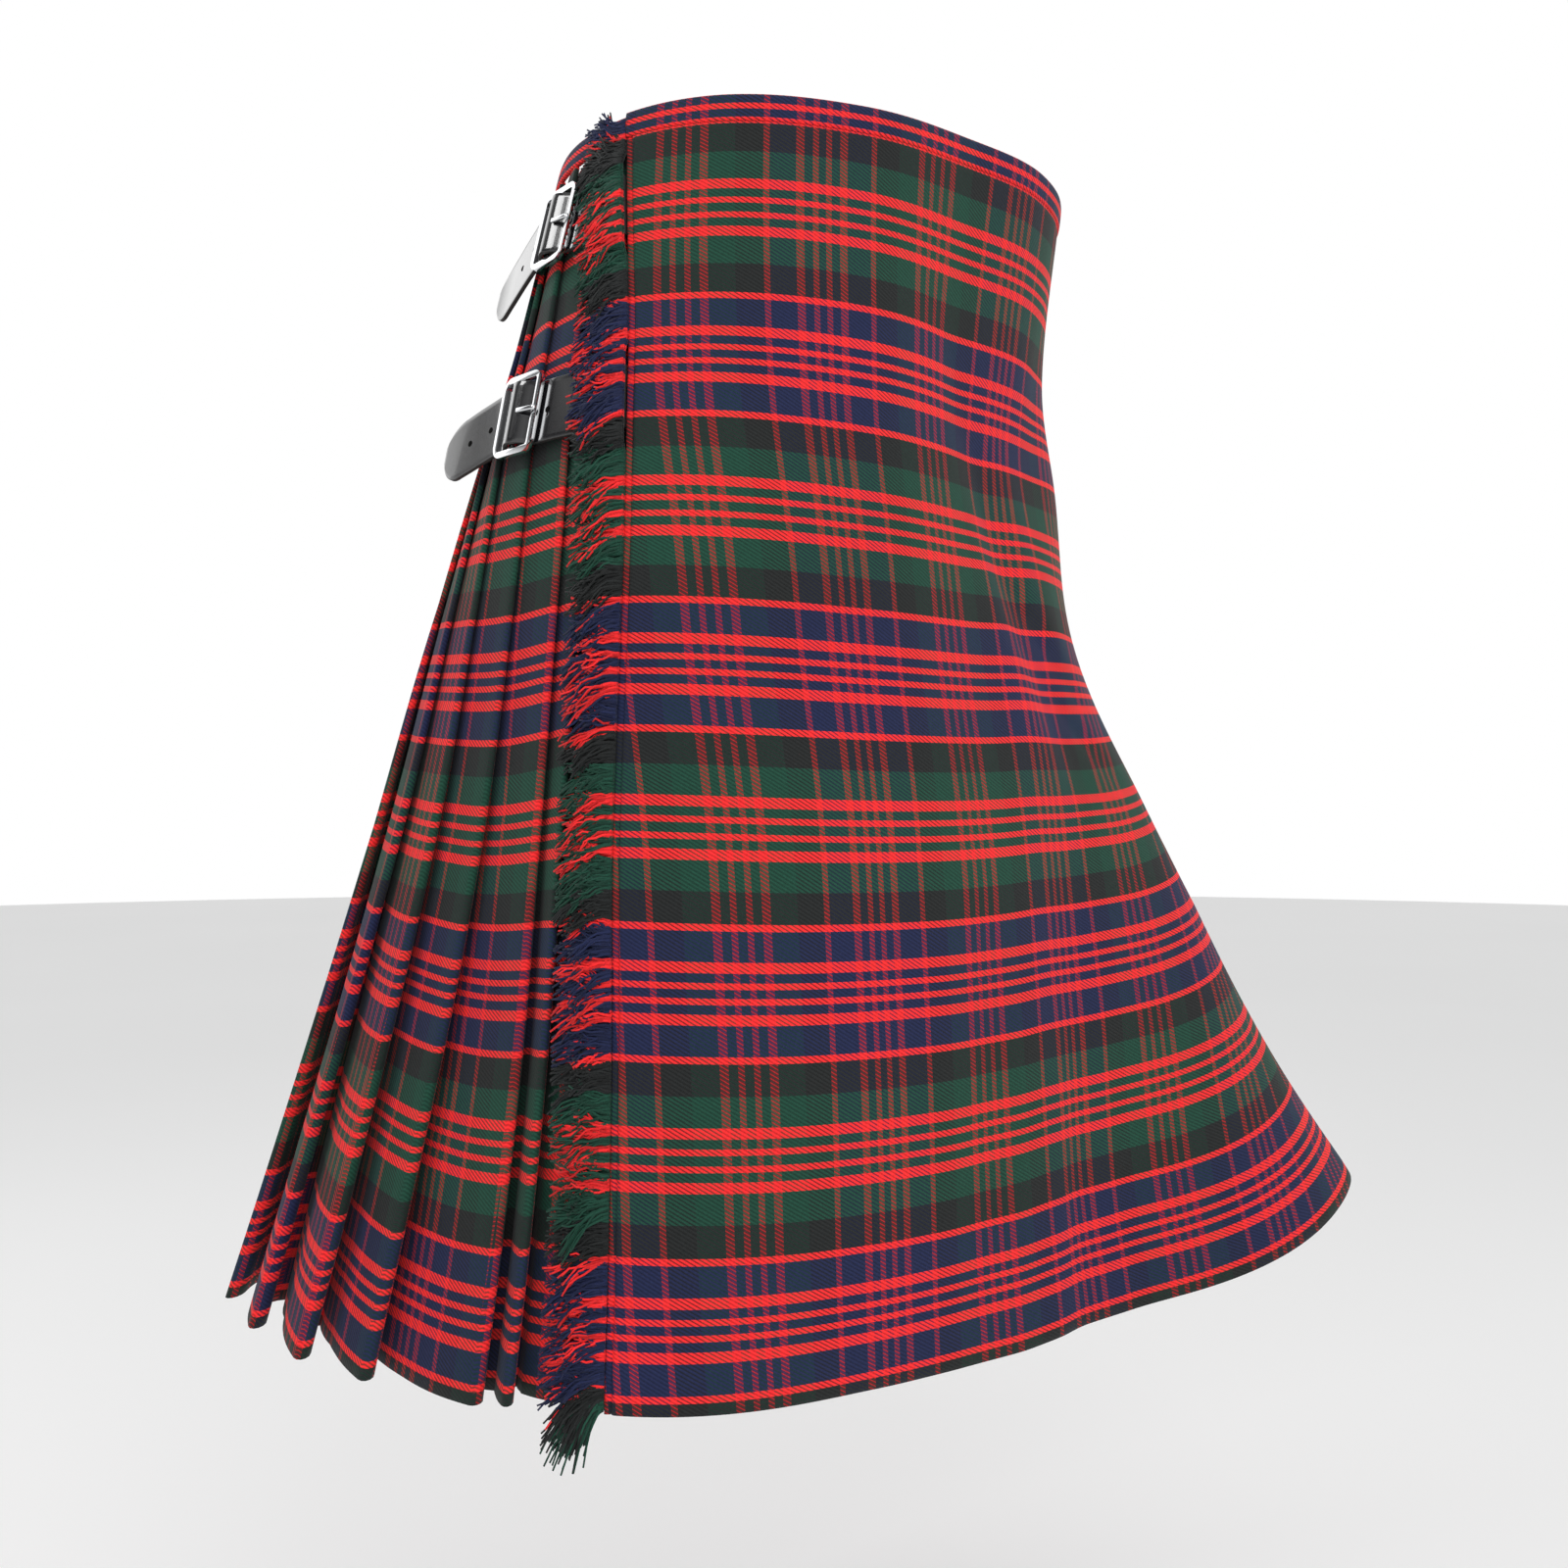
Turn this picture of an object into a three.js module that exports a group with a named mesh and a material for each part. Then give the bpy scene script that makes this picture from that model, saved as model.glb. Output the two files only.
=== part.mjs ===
// A man's eight-yard Scottish kilt, worn: two overlapping aprons in front, knife pleats round the back,
// a narrow waistband, a fringed apron edge, and leather straps with centre-bar buckles on both hips.
//
// Frame: millimetres, +Z up, the wearer faces -Y and the wearer's right is -X. The origin is the middle of
// the waist, level with the top of the waistband. The cloth keeps its worn form, caught in mid stride.
//
// Every piece is laid out on one flared surface. A place on it is (along, drop, out): the distance round the
// cloth from the middle of the front towards the wearer's right, the distance down the cloth from the top
// of the waistband, and the distance out from the surface.
import * as THREE from "three";

// ---- driving dimensions -----------------------------------------------------------------------------
const BAND_HEIGHT = 13; // waistband
const SEAM_GAP = 0.3; // between pieces sewn together
const HEM_DROP = 612; // top of the waistband to the hem, down the cloth: a 24 inch kilt
const FELL_DROP = 235; // where the stitching of the pleats ends and they swing free
const CLOTH = 1.4; // wall of an apron, with its turned edge
const PLEAT_CLOTH = 1.2; // wall of one pleat layer
const BAND_WALL = 3; // waistband, folded over the top of the cloth
const LEFT_SEAM_ANGLE = 272; // where the over apron runs into the pleats, degrees from the front
const UNDER_APRON_END = 300; // free edge of the under apron, beneath the over apron on the left
const APRON_TUCK = 12; // how far the pleats run in under the fringed edge
const PLEAT_OVERHANG = 2; // how far each fold stands over the next face
const BACK_DIP = 8; // the pleated back hangs this much lower than the aprons
const BACK_DIP_DROP = 350; // the dip is whole from this drop
const BACK_FROM = { angle: 97, blend: 25 }; // where the back begins, round by the right
const BACK_TO = { angle: 265, blend: 40 }; // and where it ends
const LEAST_FALL = 0.1; // square of the least share of its length that flaring cloth sinks
const STRAP_WIDTH = 32;
const STRAP_THICK = 2.2;
const BUCKLE_HEIGHT = 42;
const BUCKLE_LENGTH = 33;
const BUCKLE_BAR = 3.4; // width of the bars of the frame
const BUCKLE_THICK = 2.6;
const BUCKLE_CORNER = 7;
const BUCKLE_LEVEL = 1.8; // underside of the frame, over the strap
const WINDOW_CORNER = 1.6; // inner corners of the frame
const PRONG_WIDTH = 2.4;
const CHAPE_LENGTH = 11; // leather loop that holds the middle bar to the cloth
const CHAPE_WIDTH = 26;
const CHAPE_THICK = 2;
const CHAPE_LEVEL = 0.4; // its middle, out from the surface
const STRAP_LEVEL = 0.2; // middle of a strap where it comes out
const STRAP_GAP = 0.6; // a right strap shows from here, past the fringed edge
const LEFT_STRAP_TUCK = 2; // and the left one from here, inside the left seam
const HIP_RADIUS = 165; // the hip that the straps bend round
const FRINGE_WALL = 1.2;
const FRINGE_OVER_STRAP = 3.4; // how far the fringe rides up where a strap comes out beneath it
const FRINGE_MARGIN = 6; // it is fully up this far above and below the strap
const FRINGE_RAMP = 10; // and comes down over this stretch
const PLEAT_FLOOR = -7.2; // how far in the deep end of a pleat face lies
const PLEAT_SINK = 5; // and how much further in it swings at the hem
const PLEAT_DEPTH_SHARE = 0.55; // under-fold, as a share of the face that hides it
const SWING_CURVE = 1.2; // the free pleats swing out more and more towards the hem
const OPENING_START = 0.6; // the pleats widen from this share of the fell's drop
const SEAM_RUN = 45; // the over apron sinks to the pleats over this stretch
const UNDER_APRON_LEVEL = -3.2;
const UNDER_APRON_RISE = 4; // how much shorter the under apron hangs
const OVER_BAND_LEVEL = 0.3;
const BACK_BAND_LEVEL = -3.2;

// Radius of the worn surface, in mm, one row for each drop, one column for every 30 degrees. The left thigh
// is forward and the right leg is back, so the hem reaches out at the front left and the back right.
const SECTIONS = [
  ["drop", "front", "frontRight", "rightFront", "right", "rightBack", "backRight",
    "back", "backLeft", "leftBack", "left", "leftFront", "frontLeft"],
  [0, 132, 122, 134, 152, 151, 142, 134, 138, 150, 156, 150, 146],
  [100, 121, 117, 143, 169, 176, 166, 158, 160, 170, 172, 156, 137],
  [160, 118, 118, 148, 182, 191, 185, 173, 173, 181, 184, 164, 145],
  [250, 136, 129, 157, 196, 203, 213, 195, 191, 194, 194, 180, 156],
  [350, 151, 143, 167, 207, 212, 240, 219, 211, 208, 200, 212, 199],
  [450, 162, 151, 170, 211, 224, 266, 243, 229, 219, 204, 248, 246],
  [540, 170, 156, 172, 217, 240, 290, 263, 244, 229, 210, 275, 292],
  [612, 184, 158, 170, 224, 256, 310, 279, 255, 234, 214, 292, 333],
].slice(1);

// The largest soft folds of the aprons: from one angle and drop to another, with the depth in or out.
const FOLDS = [
  { name: "groin hollow", fromAngle: 24, toAngle: -8, fromDrop: 140, toDrop: 350, spread: 9, depth: -7 },
  { name: "thigh ridge", fromAngle: -6, toAngle: 6, fromDrop: 330, toDrop: 640, spread: 7, depth: 4 },
  { name: "left hollow", fromAngle: 318, toAngle: 300, fromDrop: 200, toDrop: 560, spread: 12, depth: -6 },
  { name: "right hollow", fromAngle: 34, toAngle: 40, fromDrop: 380, toDrop: 660, spread: 10, depth: -4 },
  { name: "seat hollow", fromAngle: 190, toAngle: 182, fromDrop: 260, toDrop: 640, spread: 16, depth: -9 },
];

// The fringed edge leans forward from the waist to the hip and then hangs plumb.
const FRINGED_EDGE = [
  { drop: 0, angle: 106.5 },
  { drop: 100, angle: 100.5 },
  { drop: 160, angle: 98 },
  { drop: 250, angle: 96.3 },
  { drop: 400, angle: 95.5 },
  { drop: 612, angle: 94 },
];

// Knife pleats from under the fringed edge round the back to the left hip. Widths are shares of the way
// round, in mm at the fell and at the hem. Lift is how far the free fold swings out at the hem.
const PLEATS = [
  { fell: 22, hem: 34, rise: 2.6, lift: 0 },
  { fell: 15, hem: 23, rise: 4.3, lift: 2 },
  { fell: 15, hem: 15, rise: 4.3, lift: 12 },
  { fell: 30, hem: 65, rise: 4.3, lift: 13 },
  { fell: 32, hem: 40, rise: 4.3, lift: 14 },
  { fell: 26, hem: 43, rise: 4.3, lift: 17 },
  { fell: 27, hem: 42, rise: 4.3, lift: 15 },
  { fell: 28, hem: 36, rise: 4.3, lift: 16 },
  { fell: 29, hem: 41, rise: 4.3, lift: 12 },
  { fell: 28, hem: 37, rise: 4.3, lift: 15 },
  { fell: 28, hem: 40, rise: 4.3, lift: 13 },
  { fell: 27, hem: 35, rise: 4.3, lift: 16 },
  { fell: 29, hem: 38, rise: 4.3, lift: 12 },
  { fell: 28, hem: 42, rise: 4.3, lift: 14 },
  { fell: 29, hem: 36, rise: 4.3, lift: 15 },
  { fell: 27, hem: 39, rise: 4.3, lift: 11 },
  { fell: 28, hem: 35, rise: 4.3, lift: 14 },
  { fell: 29, hem: 40, rise: 4.3, lift: 12 },
  { fell: 28, hem: 36, rise: 4.3, lift: 13 },
  { fell: 29, hem: 38, rise: 4.3, lift: 10 },
  { fell: 28, hem: 33, rise: 4.3, lift: 9 },
  { fell: 28, hem: 30, rise: 4.3, lift: 4 },
];
const LEFT_LENGTH_FROM = 12; // the cloth is two lengths, joined inside this pleat

// Straps: distance from the edge that each leaves to the middle of its buckle, and how far its tip droops
// and curls in to the hip.
const STRAPS = [
  { name: "top", side: "right", drop: 50, reach: 50, tipDroop: 20, tipCurl: 6 },
  { name: "hip", side: "right", drop: 151, reach: 66, tipDroop: 10, tipCurl: 0 },
  { name: "left", side: "left", drop: 42, reach: 46, tipDroop: 8, tipCurl: 0 },
];

// ---- finishes ---------------------------------------------------------------------------------------
function finish(color, roughness, metalness) {
  return new THREE.MeshStandardMaterial({ color, roughness, metalness });
}
const wool = () => finish(0x2c3b3a, 0.9, 0);
const woolRed = () => finish(0x8c2a2a, 0.9, 0);
const fringeWool = () => finish(0x4a2630, 0.95, 0);
const patentLeather = () => finish(0x111214, 0.18, 0);
const chrome = () => finish(0xd8dadc, 0.12, 1);

// ---- the worn surface -------------------------------------------------------------------------------
const ANGLE_STEP = 2;
const DROP_STEP = 6;
const ANGLES = 360 / ANGLE_STEP;
const DROPS = Math.ceil(HEM_DROP / DROP_STEP);
const lerp = (a, b, t) => a + (b - a) * t;
const clamp01 = (t) => Math.min(1, Math.max(0, t));
const smooth = (t) => clamp01(t) ** 2 * (3 - 2 * clamp01(t));
const turnsApart = (a, b) => ((((a - b) % 360) + 540) % 360) - 180;

// Cubic through b and c at t, with a and d as the next values on each side.
function cubic(a, b, c, d, t) {
  return b + 0.5 * t * (c - a + t * (2 * a - 5 * b + 4 * c - d + t * (3 * (b - c) + d - a)));
}

function aroundRow(row, angle) {
  const columns = row.length - 1;
  const place = ((((angle % 360) + 360) % 360) / 360) * columns;
  const at = Math.floor(place);
  const radius = (k) => row[1 + ((at + k + columns) % columns)];
  return cubic(radius(-1), radius(0), radius(1), radius(2), place - at);
}

// A value down a table whose rows have a drop: a cubic whose slope at each row is that of its neighbours.
function downTable(drops, values, drop) {
  const last = drops.length - 1;
  let k = 0;
  while (k < last - 1 && drop > drops[k + 1]) k += 1;
  const slope = (i) => {
    const low = Math.max(0, i - 1);
    const high = Math.min(last, i + 1);
    return (values[high] - values[low]) / (drops[high] - drops[low]);
  };
  const span = drops[k + 1] - drops[k];
  const t = clamp01((drop - drops[k]) / span);
  const [t2, t3] = [t * t, t * t * t];
  return (2 * t3 - 3 * t2 + 1) * values[k] + (t3 - 2 * t2 + t) * span * slope(k)
    + (3 * t2 - 2 * t3) * values[k + 1] + (t3 - t2) * span * slope(k + 1);
}

function foldDepth(angle, drop) {
  return FOLDS.reduce((sum, fold) => {
    const t = (drop - fold.fromDrop) / (fold.toDrop - fold.fromDrop);
    if (t <= 0 || t >= 1) return sum;
    const middle = fold.fromAngle + turnsApart(fold.toAngle, fold.fromAngle) * t;
    const away = turnsApart(angle, middle) / fold.spread;
    return sum + fold.depth * Math.sin(Math.PI * t) * Math.exp(-away * away);
  }, 0);
}

const SECTION_DROPS = SECTIONS.map((row) => row[0]);
function radiusAt(angle, drop) {
  const radii = SECTIONS.map((row) => aroundRow(row, angle));
  return downTable(SECTION_DROPS, radii, drop) + foldDepth(angle, drop);
}

// The dip of the pleated back, which grows from the waist to below the hips.
function backDip(angle, drop) {
  const across = smooth((angle - BACK_FROM.angle) / BACK_FROM.blend)
    * smooth((BACK_TO.angle - angle) / BACK_TO.blend);
  return BACK_DIP * across * clamp01(drop / BACK_DIP_DROP);
}

// The cloth does not stretch down its length, so it sinks less wherever it flares out.
const surface = [];
for (let i = 0; i <= DROPS; i += 1) {
  const drop = Math.min(HEM_DROP, i * DROP_STEP);
  surface.push(Array.from({ length: ANGLES }, (_, j) => {
    const angle = j * ANGLE_STEP;
    const radius = radiusAt(angle, drop);
    const above = i ? surface[i - 1][j] : { radius, sink: 0, drop: 0 };
    const [down, flare] = [drop - above.drop, radius - above.radius];
    const sink = above.sink + Math.sqrt(Math.max(LEAST_FALL * down ** 2, down ** 2 - flare ** 2));
    const turn = THREE.MathUtils.degToRad(angle);
    return {
      drop, radius, sink, x: -radius * Math.sin(turn), y: -radius * Math.cos(turn),
      z: -sink - backDip(angle, drop),
    };
  }));
}

// One way round the cloth at a drop: places on it by distance from the middle of the front.
class Section {
  constructor(drop) {
    const place = Math.min(drop / DROP_STEP, DROPS - 1e-9);
    const row = Math.floor(place);
    const t = row === DROPS - 1
      ? (drop - row * DROP_STEP) / (HEM_DROP - row * DROP_STEP)
      : place - row;
    this.points = surface[row].map((a, j) => {
      const b = surface[row + 1][j];
      return new THREE.Vector3(lerp(a.x, b.x, t), lerp(a.y, b.y, t), lerp(a.z, b.z, t));
    });
    this.along = [0];
    for (let j = 1; j <= ANGLES; j += 1) {
      const step = this.points[j % ANGLES].distanceTo(this.points[j - 1]);
      this.along.push(this.along[j - 1] + step);
    }
    this.total = this.along[ANGLES];
  }

  alongAtAngle(angle) {
    const place = ((((angle % 360) + 360) % 360) / ANGLE_STEP);
    const j = Math.floor(place);
    return lerp(this.along[j], this.along[j + 1], place - j);
  }

  at(along, out) {
    const wrapped = ((along % this.total) + this.total) % this.total;
    let j = 0;
    while (j < ANGLES - 1 && wrapped > this.along[j + 1]) j += 1;
    const t = (wrapped - this.along[j]) / (this.along[j + 1] - this.along[j]);
    const pick = (k) => this.points[(k + ANGLES) % ANGLES];
    const ahead = pick(j + 2).clone().sub(pick(j));
    const behind = pick(j + 1).clone().sub(pick(j - 1));
    const run = behind.lerp(ahead, t);
    const outward = new THREE.Vector3(-run.y, run.x, 0).normalize();
    return pick(j).clone().lerp(pick(j + 1), t).addScaledVector(outward, out);
  }
}
const sections = new Map();
function sectionAt(drop) {
  if (!sections.has(drop)) sections.set(drop, new Section(drop));
  return sections.get(drop);
}
const place = (along, drop, out) => sectionAt(drop).at(along, out);

const fringedEdge = (drop) => sectionAt(drop).alongAtAngle(downTable(
  FRINGED_EDGE.map((row) => row.drop), FRINGED_EDGE.map((row) => row.angle), drop));
const leftSeam = (drop) => sectionAt(drop).alongAtAngle(LEFT_SEAM_ANGLE);

// ---- walls of cloth ---------------------------------------------------------------------------------
// A closed wall between two grids of points of the same size: outer[row][column] and inner[row][column].
function wall(outer, inner) {
  const [rows, columns] = [outer.length, outer[0].length];
  const positions = [...outer.flat(), ...inner.flat()].flatMap((p) => p.toArray());
  const side = rows * columns;
  const out = (i, j) => i * columns + j;
  const inn = (i, j) => side + out(i, j);
  const index = [];
  const quad = (a, b, c, d) => index.push(a, b, c, a, c, d);
  for (let i = 0; i + 1 < rows; i += 1) {
    for (let j = 0; j + 1 < columns; j += 1) {
      quad(out(i, j), out(i, j + 1), out(i + 1, j + 1), out(i + 1, j));
      quad(inn(i, j), inn(i + 1, j), inn(i + 1, j + 1), inn(i, j + 1));
    }
    quad(out(i, 0), out(i + 1, 0), inn(i + 1, 0), inn(i, 0));
    quad(out(i + 1, columns - 1), out(i, columns - 1), inn(i, columns - 1), inn(i + 1, columns - 1));
  }
  for (let j = 0; j + 1 < columns; j += 1) {
    quad(out(0, j + 1), out(0, j), inn(0, j), inn(0, j + 1));
    quad(out(rows - 1, j), out(rows - 1, j + 1), inn(rows - 1, j + 1), inn(rows - 1, j));
  }
  const geometry = new THREE.BufferGeometry();
  geometry.setAttribute("position", new THREE.Float32BufferAttribute(positions, 3));
  geometry.setIndex(index);
  geometry.computeVertexNormals();
  return geometry;
}

// A plain wall over a patch of the surface. from and to give its ends round the cloth at a drop; middle
// gives how far its mid-surface lies out from the surface.
function sheet({ from, to, drops, columns, thick, middle }) {
  const grid = (lift) => drops.map((drop) => Array.from({ length: columns + 1 }, (_, j) => {
    const along = lerp(from(drop), to(drop), j / columns);
    return place(along, drop, middle(along, drop) + lift);
  }));
  return wall(grid(thick / 2), grid(-thick / 2));
}

const group = new THREE.Group();
function add(name, geometry, material) {
  const mesh = new THREE.Mesh(geometry, material);
  mesh.name = name;
  group.add(mesh);
}

const evenly = (from, to, steps) => Array.from({ length: steps + 1 }, (_, i) => lerp(from, to, i / steps));
const CLOTH_TOP = BAND_HEIGHT + SEAM_GAP;
const APRON_DROPS = [CLOTH_TOP, ...evenly(60, HEM_DROP, 11)];
const BAND_DROPS = [0, BAND_HEIGHT];

// ---- over apron: from the left hip across the front to the fringed edge on the right hip -------------
const swingAt = (drop) => clamp01((drop - FELL_DROP) / (HEM_DROP - FELL_DROP)) ** SWING_CURVE;
const pleatFloor = (drop) => PLEAT_FLOOR - PLEAT_SINK * swingAt(drop);

// 1 at the left seam, falling to 0 further round the front.
function nearSeam(along, drop) {
  const total = sectionAt(drop).total;
  const wrapped = ((along % total) + total) % total;
  return wrapped > total / 2 ? 1 - smooth((wrapped - leftSeam(drop)) / SEAM_RUN) : 0;
}
const fromLeftSeam = (drop) => leftSeam(drop) - sectionAt(drop).total + SEAM_GAP;
add("over_apron", sheet({
  from: fromLeftSeam,
  to: fringedEdge,
  drops: APRON_DROPS,
  columns: 48,
  thick: CLOTH,
  middle: (along, drop) => pleatFloor(drop) * nearSeam(along, drop),
}), wool());

// ---- under apron: from the pleats on the right hip, beneath the over apron, to the left hip -----------
const underApronEnd = (drop) => sectionAt(drop).alongAtAngle(UNDER_APRON_END) - sectionAt(drop).total;
const pleatsStart = (drop) => fringedEdge(drop) - APRON_TUCK;
add("under_apron", sheet({
  from: underApronEnd,
  to: (drop) => pleatsStart(drop) - PLEAT_OVERHANG - PLEAT_CLOTH / 2 - SEAM_GAP,
  drops: APRON_DROPS.map((drop) => Math.min(drop, HEM_DROP - UNDER_APRON_RISE)),
  columns: 28,
  thick: PLEAT_CLOTH,
  middle: () => UNDER_APRON_LEVEL,
}), wool());

// ---- pleats -------------------------------------------------------------------------------------------
const PLEAT_DROPS = [CLOTH_TOP, 70, 130, 185, 240, 300, 370, 450, 530, HEM_DROP];
function shares(column) {
  const total = PLEATS.reduce((sum, pleat) => sum + pleat[column], 0);
  return PLEATS.reduce((ends, pleat) => [...ends, ends.at(-1) + pleat[column] / total], [0]);
}
const fellShare = shares("fell");
const hemShare = shares("hem");

// Where fold k lies round the cloth. The fringed edge hides the start of the first pleat.
function foldAlong(k, drop) {
  const openFrom = FELL_DROP * OPENING_START;
  const opened = smooth((drop - openFrom) / (HEM_DROP - openFrom));
  return lerp(pleatsStart(drop), leftSeam(drop), lerp(fellShare[k], hemShare[k], opened));
}

// The mid-line of the folded cloth at a drop, from pleat `first` up to pleat `last`, as [along, out] points.
// Each face slopes in from its fold edge, then the cloth doubles back twice beneath the next face.
function pleatLine(first, last, drop) {
  const face = (k, along) => {
    const rise = PLEATS[k].rise + PLEATS[k].lift * swingAt(drop);
    const [from, to] = [foldAlong(k, drop) - PLEAT_OVERHANG, foldAlong(k + 1, drop)];
    return pleatFloor(drop) + rise * (1 - (along - from) / (to - from));
  };
  const line = [];
  for (let k = first; k < last; k += 1) {
    const [start, end] = [foldAlong(k, drop), foldAlong(k + 1, drop)];
    const edge = start - PLEAT_OVERHANG;
    if (k > 0) {
      const crease = start + PLEAT_DEPTH_SHARE * (end - start);
      const stack = face(k, edge) - face(k - 1, edge);
      if (k > first) line.push([crease, face(k, crease) - stack]);
      line.push([crease, face(k, crease) - stack / 2]);
      line.push([edge, face(k, edge) - stack / 2]);
    }
    line.push([edge, face(k, edge)]);
    line.push([end, face(k, end)]);
    if (k + 1 === last && last < PLEATS.length) {
      const next = foldAlong(last + 1, drop);
      const crease = end + PLEAT_DEPTH_SHARE * (next - end);
      const stack = face(last, end - PLEAT_OVERHANG) - face(k, end - PLEAT_OVERHANG);
      line.push([crease, face(last, crease) - stack]);
    }
  }
  return line;
}

// The same line moved sideways, with its corners mitred.
function offsetLine(line, distance) {
  const last = line.length - 1;
  const unit = (a, b) => new THREE.Vector2(b[0] - a[0], b[1] - a[1]).normalize();
  return line.map(([x, y], i) => {
    const into = unit(line[Math.max(0, i - 1)], line[Math.max(1, i)]);
    const away = unit(line[Math.min(last - 1, i)], line[Math.min(last, i + 1)]);
    const miter = new THREE.Vector2(-(into.y + away.y), into.x + away.x).normalize();
    const reach = distance / Math.max(0.4, miter.dot(new THREE.Vector2(-into.y, into.x)));
    return [x + miter.x * reach, y + miter.y * reach];
  });
}

function pleats(first, last) {
  const grid = (lift) => PLEAT_DROPS.map((drop) => offsetLine(pleatLine(first, last, drop), lift)
    .map(([along, out]) => place(along, drop, out)));
  return wall(grid(PLEAT_CLOTH / 2), grid(-PLEAT_CLOTH / 2));
}
add("pleats_right", pleats(0, LEFT_LENGTH_FROM), wool());
add("pleats_left", pleats(LEFT_LENGTH_FROM, PLEATS.length), wool());

// ---- waistband: one strip, in three lengths -----------------------------------------------------------
const band = (from, to, columns, middle) => sheet({
  from, to, columns, middle, drops: BAND_DROPS, thick: BAND_WALL,
});
add("waistband_apron", band(
  fromLeftSeam, fringedEdge, 48,
  (along, drop) => lerp(OVER_BAND_LEVEL, BACK_BAND_LEVEL, nearSeam(along, drop)),
), woolRed());
add("waistband_back", band(pleatsStart, leftSeam, 36, () => BACK_BAND_LEVEL), woolRed());
add("waistband_under", band(
  underApronEnd, (drop) => pleatsStart(drop) - SEAM_GAP, 28, () => BACK_BAND_LEVEL,
), woolRed());

// ---- fringe: two rows of loose threads along the edge of the over apron, each a plain wall ------------
const FRINGES = [
  { name: "fringe_inner", reach: 26, level: -0.2 },
  { name: "fringe_outer", reach: 20, level: 1.3 },
];
const FRINGE_DROPS = [
  CLOTH_TOP, 20, 28, 50, 72, 82, 118, 129, 151, 173, 184, ...evenly(240, HEM_DROP - 6, 6),
];
function overStraps(drop) {
  return STRAPS.filter((strap) => strap.side === "right").reduce((most, strap) => {
    const past = Math.abs(drop - strap.drop) - STRAP_WIDTH / 2 - FRINGE_MARGIN;
    return Math.max(most, FRINGE_OVER_STRAP * (1 - smooth(past / FRINGE_RAMP)));
  }, 0);
}
FRINGES.forEach(({ name, reach, level }) => add(name, sheet({
  from: (drop) => fringedEdge(drop) + SEAM_GAP,
  to: (drop) => fringedEdge(drop) + reach,
  drops: FRINGE_DROPS,
  columns: 2,
  thick: FRINGE_WALL,
  middle: (along, drop) => level + overStraps(drop),
}), fringeWool()));

// ---- straps and buckles -------------------------------------------------------------------------------
// Along a strap, in the frame of its buckle: distance past the middle bar, distance out, share of the droop
// and curl of its tip, and share of the full width. It dips under the near bar, rides over the middle bar
// and dips again.
const STRAP_PATH = [
  { past: -22, out: -0.7, droop: 0, width: 1 },
  { past: -12.5, out: 0.2, droop: 0, width: 1 },
  { past: -2.5, out: 5.9, droop: 0, width: 1 },
  { past: 2.5, out: 5.9, droop: 0, width: 1 },
  { past: 12.5, out: 0.2, droop: 0, width: 1 },
  { past: 18, out: 0.2, droop: 0.04, width: 1 },
  { past: 30, out: 0.6, droop: 0.3, width: 1 },
  { past: 44, out: 1.2, droop: 0.65, width: 1 },
  { past: 54, out: 1.6, droop: 0.9, width: 0.95 },
  { past: 61, out: 1.8, droop: 1, width: 0.72 },
  { past: 66, out: 1.9, droop: 1, width: 0.25 },
];

const strapWay = (strap) => (strap.side === "right" ? 1 : -1);
const strapStart = (strap, drop) => (
  strap.side === "right" ? fringedEdge(drop) + STRAP_GAP : leftSeam(drop) - LEFT_STRAP_TUCK
);

// The frame of a buckle: its middle on the cloth, X back to where the strap comes out, Z out. It follows
// chords of the surface that reach this far each way.
const CHORD_REACH = 8;
function buckleMatrix(strap) {
  const way = strapWay(strap);
  const middle = strapStart(strap, strap.drop) + way * strap.reach;
  const near = place(middle - way * CHORD_REACH, strap.drop, 0);
  const far = place(middle + way * CHORD_REACH, strap.drop, 0);
  const up = place(middle, strap.drop - CHORD_REACH, 0).sub(place(middle, strap.drop + CHORD_REACH, 0));
  const x = near.sub(far).normalize();
  const z = x.clone().cross(up).normalize().multiplyScalar(way);
  const y = z.clone().cross(x);
  return new THREE.Matrix4().makeBasis(x, y, z).setPosition(place(middle, strap.drop, 0));
}

function strapGeometry(strap) {
  const way = strapWay(strap);
  const frame = buckleMatrix(strap);
  const hidden = strap.reach + STRAP_PATH[0].past;
  const outward = new THREE.Vector3().setFromMatrixColumn(frame, 2);
  const grid = (lift) => [-1, 1].map((side) => {
    const edge = side * STRAP_WIDTH / 2;
    const start = place(strapStart(strap, strap.drop + edge), strap.drop + edge, STRAP_LEVEL + lift);
    const row = STRAP_PATH.map((p) => {
      const down = edge * p.width + strap.tipDroop * p.droop;
      const out = p.out - strap.tipCurl * p.droop + lift;
      return new THREE.Vector3(-p.past, -way * down, out).applyMatrix4(frame);
    });
    const bow = (hidden * hidden) / 8 / HIP_RADIUS;
    const between = start.clone().lerp(row[0], 0.5).addScaledVector(outward, bow);
    const whole = [start, between, ...row];
    return way > 0 ? whole : whole.reverse();
  });
  return wall(grid(STRAP_THICK / 2), grid(-STRAP_THICK / 2));
}

function roundedOutline(width, height, corner, target) {
  const [w, h] = [width / 2, height / 2];
  target.moveTo(-w + corner, -h);
  target.lineTo(w - corner, -h);
  target.absarc(w - corner, -h + corner, corner, -Math.PI / 2, 0);
  target.lineTo(w, h - corner);
  target.absarc(w - corner, h - corner, corner, 0, Math.PI / 2);
  target.lineTo(-w + corner, h);
  target.absarc(-w + corner, h - corner, corner, Math.PI / 2, Math.PI);
  target.lineTo(-w, -h + corner);
  target.absarc(-w + corner, -h + corner, corner, Math.PI, 1.5 * Math.PI);
  return target;
}

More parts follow.
